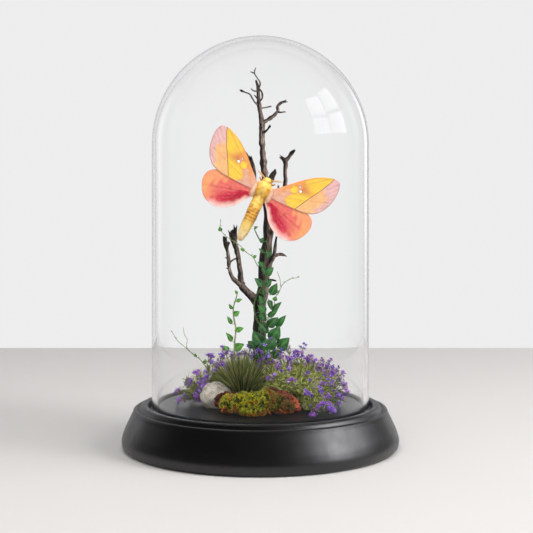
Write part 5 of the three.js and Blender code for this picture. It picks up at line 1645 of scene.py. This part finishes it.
# %% Clumps
# Root on the deck, reach to the sides, forward, back and up, how many heads behind, how
# many leafy sprigs, then the heads in front.
CLUMPS = {
    "right_flowers": ((18, -7), (25, 24, 17, 28), 60, 230, [
        [6.3, -6.2, 53.8], [1.7, -6.2, 50.9], [-0.5, -8.1, 48], [7.4, -4.6, 47.1], [10.4, -4.8, 48.3],
        [4.5, -8.8, 46], [14.2, -2.7, 49.6], [21.2, -4.9, 50.1], [13.4, -6.8, 45.3], [15.5, -11.6, 44.7],
        [17.2, -5.1, 46.9], [21.1, -9.8, 44.4], [25.7, -10.8, 44.6], [23.4, -8.5, 43], [8.9, -13.9, 42.3],
        [14.3, -10.3, 41.2], [14.1, -16.1, 40.1], [11.6, -13.4, 38.3], [6.6, -17.8, 37.6],
        [4.9, -15.8, 36.1], [15, -20.8, 35.8], [16.8, -18.9, 33.6], [26.3, -10.5, 41.3],
        [27.6, -13.3, 39.7], [32.5, -14.1, 41.8], [31.7, -17.5, 38.9], [34, -17.1, 38.8],
        [33.9, -20.9, 36.1], [34.7, -12, 31.5], [30.3, -18.4, 35], [21.5, -16.7, 36.7], [23.9, -19.9, 35.7],
        [25.8, -19.4, 33.2], [22.8, -16.5, 38.7], [28.1, -23.8, 31.4], [31.4, -25, 29.7], [38.2, -11, 27.4],
        [43, -8, 28.1], [37.5, -12, 23], [32.7, -33, 26.2], [32.9, -34, 23.7], [28.8, -34.1, 26.9],
        [26.3, -31.8, 24.2], [24.7, -33.2, 21.9], [22.4, -26.1, 31], [-2.6, -5, 46], [0.4, -6, 44],
        [3.4, -7, 43.4], [6.4, -6, 43.6], [9.6, -8, 45.4], [1.4, -7.5, 40.6], [18.4, -9, 47.6],
        [29.4, -13, 43], [24, -11.6, 46],
    ]),
    "left_flowers": ((-28, -1), (14, 11, 12, 24), 8, 20, [
        [-32.7, -3.2, 36.7], [-28.1, -4.5, 36.9], [-26.4, -1.8, 45.8], [-25.2, -0.5, 44.8],
        [-20, -1.9, 44.8], [-17.8, -0.4, 46.6], [-23.9, -1.1, 41.5], [-21.8, -1.2, 41], [-20.3, -3, 41.4],
        [-18.3, -3.3, 40.8], [-23.8, -3.6, 37.3], [-28, -5.2, 33.7], [-29.8, -5.3, 32.7],
        [-35.6, -4.6, 31.9], [-34, -5.4, 33.5], [-28.5, -6.9, 31.1], [-25, -4.8, 30.7], [-30.8, -5.9, 28.6],
        [-32.2, -6.3, 26.9], [-31.5, -6.8, 24.8], [-37.6, -7, 26.1], [-40.5, -8.8, 24.1],
    ]),
    "back_flowers": ((-11, 14), (12, 8, 8, 27), 26, 60, [
        [-18.7, 7.2, 47.9], [-14.4, 9, 44], [-11.8, 7.2, 45.3], [-8.2, 8.1, 45.5], [-5.5, 7, 48.3],
        [-5.9, 7.5, 43.2], [-3.2, 9.5, 46], [-0.9, 10.7, 45.8], [-0.9, 10.7, 43.5],
    ]),
}


print("heads in front:", {name: len(clump[-1]) for name, clump in CLUMPS.items()})


# %% Shape of a clump
GOLDEN_ANGLE = np.pi * (3 - np.sqrt(5))


def rounded_spots(root, reach, count, shrink, seed):
    """Spots over the rounded shape of a clump: the share up rises evenly, the turn goes
    on by the golden angle, and the reach shrinks towards the top."""
    chance = np.random.default_rng(seed)
    index = np.arange(count)
    up = (index + 0.5) / count
    out = np.sqrt(1 - up**3)
    turn = index * GOLDEN_ANGLE + seed
    length = shrink * chance.uniform(0.85, 1.0, count)
    deep = np.where(np.sin(turn) < 0, reach[1], reach[2])
    x = root[0] + reach[0] * out * length * np.cos(turn)
    y = root[1] + deep * out * length * np.sin(turn)
    z = FLOOR + 1.8 + (reach[3] - 3.6) * up * length
    return np.stack((x, y, z), 1)


def clear_of_others(points, margin=0.0):
    """Which points lie clear of the trunk, the moss and bark, the stone and the heart of
    the grass."""
    x, y, z = points.T
    clear = np.hypot(x + 0.8, y - 5.6) > 4.6 + margin
    clear &= np.hypot(x - TUFT[0], y - TUFT[1]) > 4.6 + 0.2 * (z - FLOOR) + margin
    clear &= np.linalg.norm((points - [-21.6, -11.5, 26.4]) / (8.6 + margin), axis=1) > 1
    for middle, size in CUSHIONS:
        clear &= np.linalg.norm((points - middle) / (np.array(size) + 0.6 + margin), axis=1) > 1
    clear &= (np.hypot(y + 27, z - 26.5) > 5.4 + margin) | (np.abs(x) > 19)
    return clear & (np.hypot(x, y) < 50.5) & (z > FLOOR + 0.1)


# %% Sprigs
FIVE = 5  # leaflets in a whorl, and petals in a floret


def sprig_paths(root, tips, rows):
    """Paths from the root to the tips that set off steeply and bend outwards."""
    t = np.linspace(0, 1, rows)[None, :, None]
    start = np.array([root[0], root[1], FLOOR + 0.6]) + (tips - [root[0], root[1], 0]) * [0.12, 0.12, 0]
    lift = np.array([0, 0, 1.0]) * (np.linalg.norm(tips[:, :2] - root, axis=1) * 0.16)[:, None]
    return start[:, None] * (1 - t) + tips[:, None] * t + lift[:, None] * 4 * t * (1 - t)


# %% Narrow blades
def narrow_blades(roots, tips, width, facing, low, high, rows=2):
    """Small pointed blades, three-sided in section: widest a third of the way out and
    bowed a little. Their colour runs from low at the root to high at the tip."""
    along = tips - roots
    size = np.linalg.norm(along, axis=1)[:, None, None]
    heading = unit(along)
    up = unit(facing - heading * (facing * heading).sum(1)[:, None])
    side = np.cross(up, heading)
    t = (np.arange(rows) + 0.5) / rows
    half = (np.sin(np.pi * t**0.7) * 0.5)[None, :, None] * np.asarray(width)[:, None, None] + 0.02
    angle = np.pi / 2 + np.arange(3) * 2 * np.pi / 3
    bow = 0.12 * size * (4 * t * (1 - t))[None, :, None]
    across = half * 1.1 * np.cos(angle)
    lift = half * 0.36 * np.sin(angle) + bow
    middle = roots[:, None] + along[:, None] * t[:, None]
    rings = middle[:, :, None] + side[:, None, None] * across[..., None] + up[:, None, None] * lift[..., None]
    share = np.broadcast_to(t[None, :, None], half.shape[:2] + (3,))
    colour = mixed(low[:, None, None], high[:, None, None], share)
    return skins(rings, roots, tips, paint=colour)


# %% Whorls of leaflets
def whorls(paths, chance, per_sprig, length):
    """Leaflets in whorls of five up every path, from a fifth of the way to its tip."""
    count, rows = paths.shape[:2]
    share = np.repeat(np.linspace(0.2, 0.97, per_sprig)[None], count, 0)
    share = share + chance.uniform(-0.02, 0.02, (count, per_sprig))
    at = np.clip(share, 0, 1) * (rows - 1)
    low = np.clip(at.astype(int), 0, rows - 2)
    pick = np.arange(count)[:, None]
    between = (at - low)[..., None]
    roots = (paths[pick, low] * (1 - between) + paths[pick, low + 1] * between).reshape(-1, 3)
    heading = unit(paths[pick, low + 1] - paths[pick, low]).reshape(-1, 3)
    across = unit(np.cross(heading, [0.31, 0.9, 0.3]))
    beside = np.cross(heading, across)
    turn = (np.arange(FIVE) * 2 * np.pi / FIVE + chance.uniform(0, 6.28, (len(roots), 1)))[..., None]
    way = across[:, None] * np.cos(turn) + beside[:, None] * np.sin(turn)
    way = unit(way + heading[:, None] * 0.75 + 0.22 * chance.normal(size=way.shape))
    size = length * chance.uniform(0.65, 1.15, way.shape[:2])[..., None]
    roots = np.repeat(roots[:, None], FIVE, 1)
    tips = roots + way * size
    facing = np.repeat(heading[:, None], FIVE, 1)
    return roots.reshape(-1, 3), tips.reshape(-1, 3), facing.reshape(-1, 3)


# %% Florets
VIOLETS = [paint(code) for code in ("6a35bc", "8c50d8", "b083ee", "8a3fc4", "b864d4")]


def florets(heads, outward, chance, per_head=8, size=1.32):
    """Heads of florets: each is five petals that open round its own direction."""
    n = len(heads) * per_head
    way = unit(np.repeat(outward, per_head, 0) + 0.75 * chance.normal(size=(n, 3)))
    centre = np.repeat(heads, per_head, 0) + way * 1.1 + 0.72 * chance.normal(size=(n, 3))
    across = unit(np.cross(way, chance.normal(size=(n, 3))))
    beside = np.cross(way, across)
    turn = (np.arange(FIVE) * 2 * np.pi / FIVE)[None, :, None]
    out = across[:, None] * np.cos(turn) + beside[:, None] * np.sin(turn)
    big = size * chance.uniform(0.75, 1.15, (n, 1, 1))
    roots = np.repeat(centre[:, None], FIVE, 1)
    tips = roots + unit(out + way[:, None] * 0.35) * big
    facing = np.repeat(way[:, None], FIVE, 1)
    kind = np.array(VIOLETS)[chance.integers(0, len(VIOLETS), n)]
    kind = np.repeat(kind[:, None], FIVE, 1) * chance.uniform(0.8, 1.2, (n, FIVE, 1))
    dark, light = kind * 0.5, np.clip(kind * 1.2 + 0.04, 0, 1)
    flat = lambda values: values.reshape(-1, 3)
    width = np.full(n * FIVE, 0.62) * np.repeat(big[:, 0, 0], FIVE)
    return narrow_blades(flat(roots), flat(tips), width, flat(facing), flat(dark), flat(light))


# %% Making the clumps
leaflet_finish = painted(
    "leaflets", rough=(0.5, 0.75), scale=1500, contrast=0.35, depth_mm=0.02,
    Specular_IOR_Level=0.35,
)
petal_finish = painted(
    "petals", rough=(0.55, 0.8), scale=1500, contrast=0.3, depth_mm=0.02, Specular_IOR_Level=0.3,
    Sheen_Weight=0.1,
)
for number, (name, (root, reach, behind, leafy, heads)) in enumerate(CLUMPS.items()):
    chance = np.random.default_rng(200 + number)
    root = np.array(root, float)
    back = rounded_spots(root, reach, behind * 3, 1.0, 5 + number)
    front = np.array(heads)
    apart = np.linalg.norm(back[:, None] - front[None], axis=2).min(1)
    hidden = (back[:, 1] > root[1] - 3) & (apart > 4) & clear_of_others(back, 1.0)
    heads = np.concatenate((front, back[hidden][:behind]))
    green = rounded_spots(root, reach, leafy, 0.82, 9 + number)
    green = green[clear_of_others(green)]
    tips = np.concatenate((heads, green))
    paths = sprig_paths(root, tips, rows=8)
    stems = thin_tubes(paths, radius=0.17, colour=paint("70703c"))
    base, end, facing = whorls(paths, chance, per_sprig=8, length=4.3)
    keep = clear_of_others(base, 0.2) & clear_of_others(end)
    base, end, facing = base[keep], end[keep], facing[keep]
    tone = chance.uniform(0, 1, len(base))
    # painted light and shade: the leaflets are lighter high up and towards the front, and darker low down and
    # behind
    light = step_up(base[:, 2] + 2 * tone - 0.35 * base[:, 1], FLOOR - 2, FLOOR + reach[3] * 0.75)
    low = mixed(paint("1c290b"), paint("66782a"), light * (0.4 + 0.6 * tone))
    high = mixed(paint("3c4d19"), paint("e2e684"), light * (0.4 + 0.75 * tone))
    leaflets = narrow_blades(base, end, np.full(len(base), 0.5), facing, low, high)
    piece(f"{name}_leaflets", together([stems, leaflets]), [leaflet_finish], [name])
    outward = unit((heads - [root[0], root[1], FLOOR + 4]) * [1, 1, 0.8])
    blooms = florets(heads, outward, chance)
    piece(f"{name}_blooms", blooms, [petal_finish], [name])
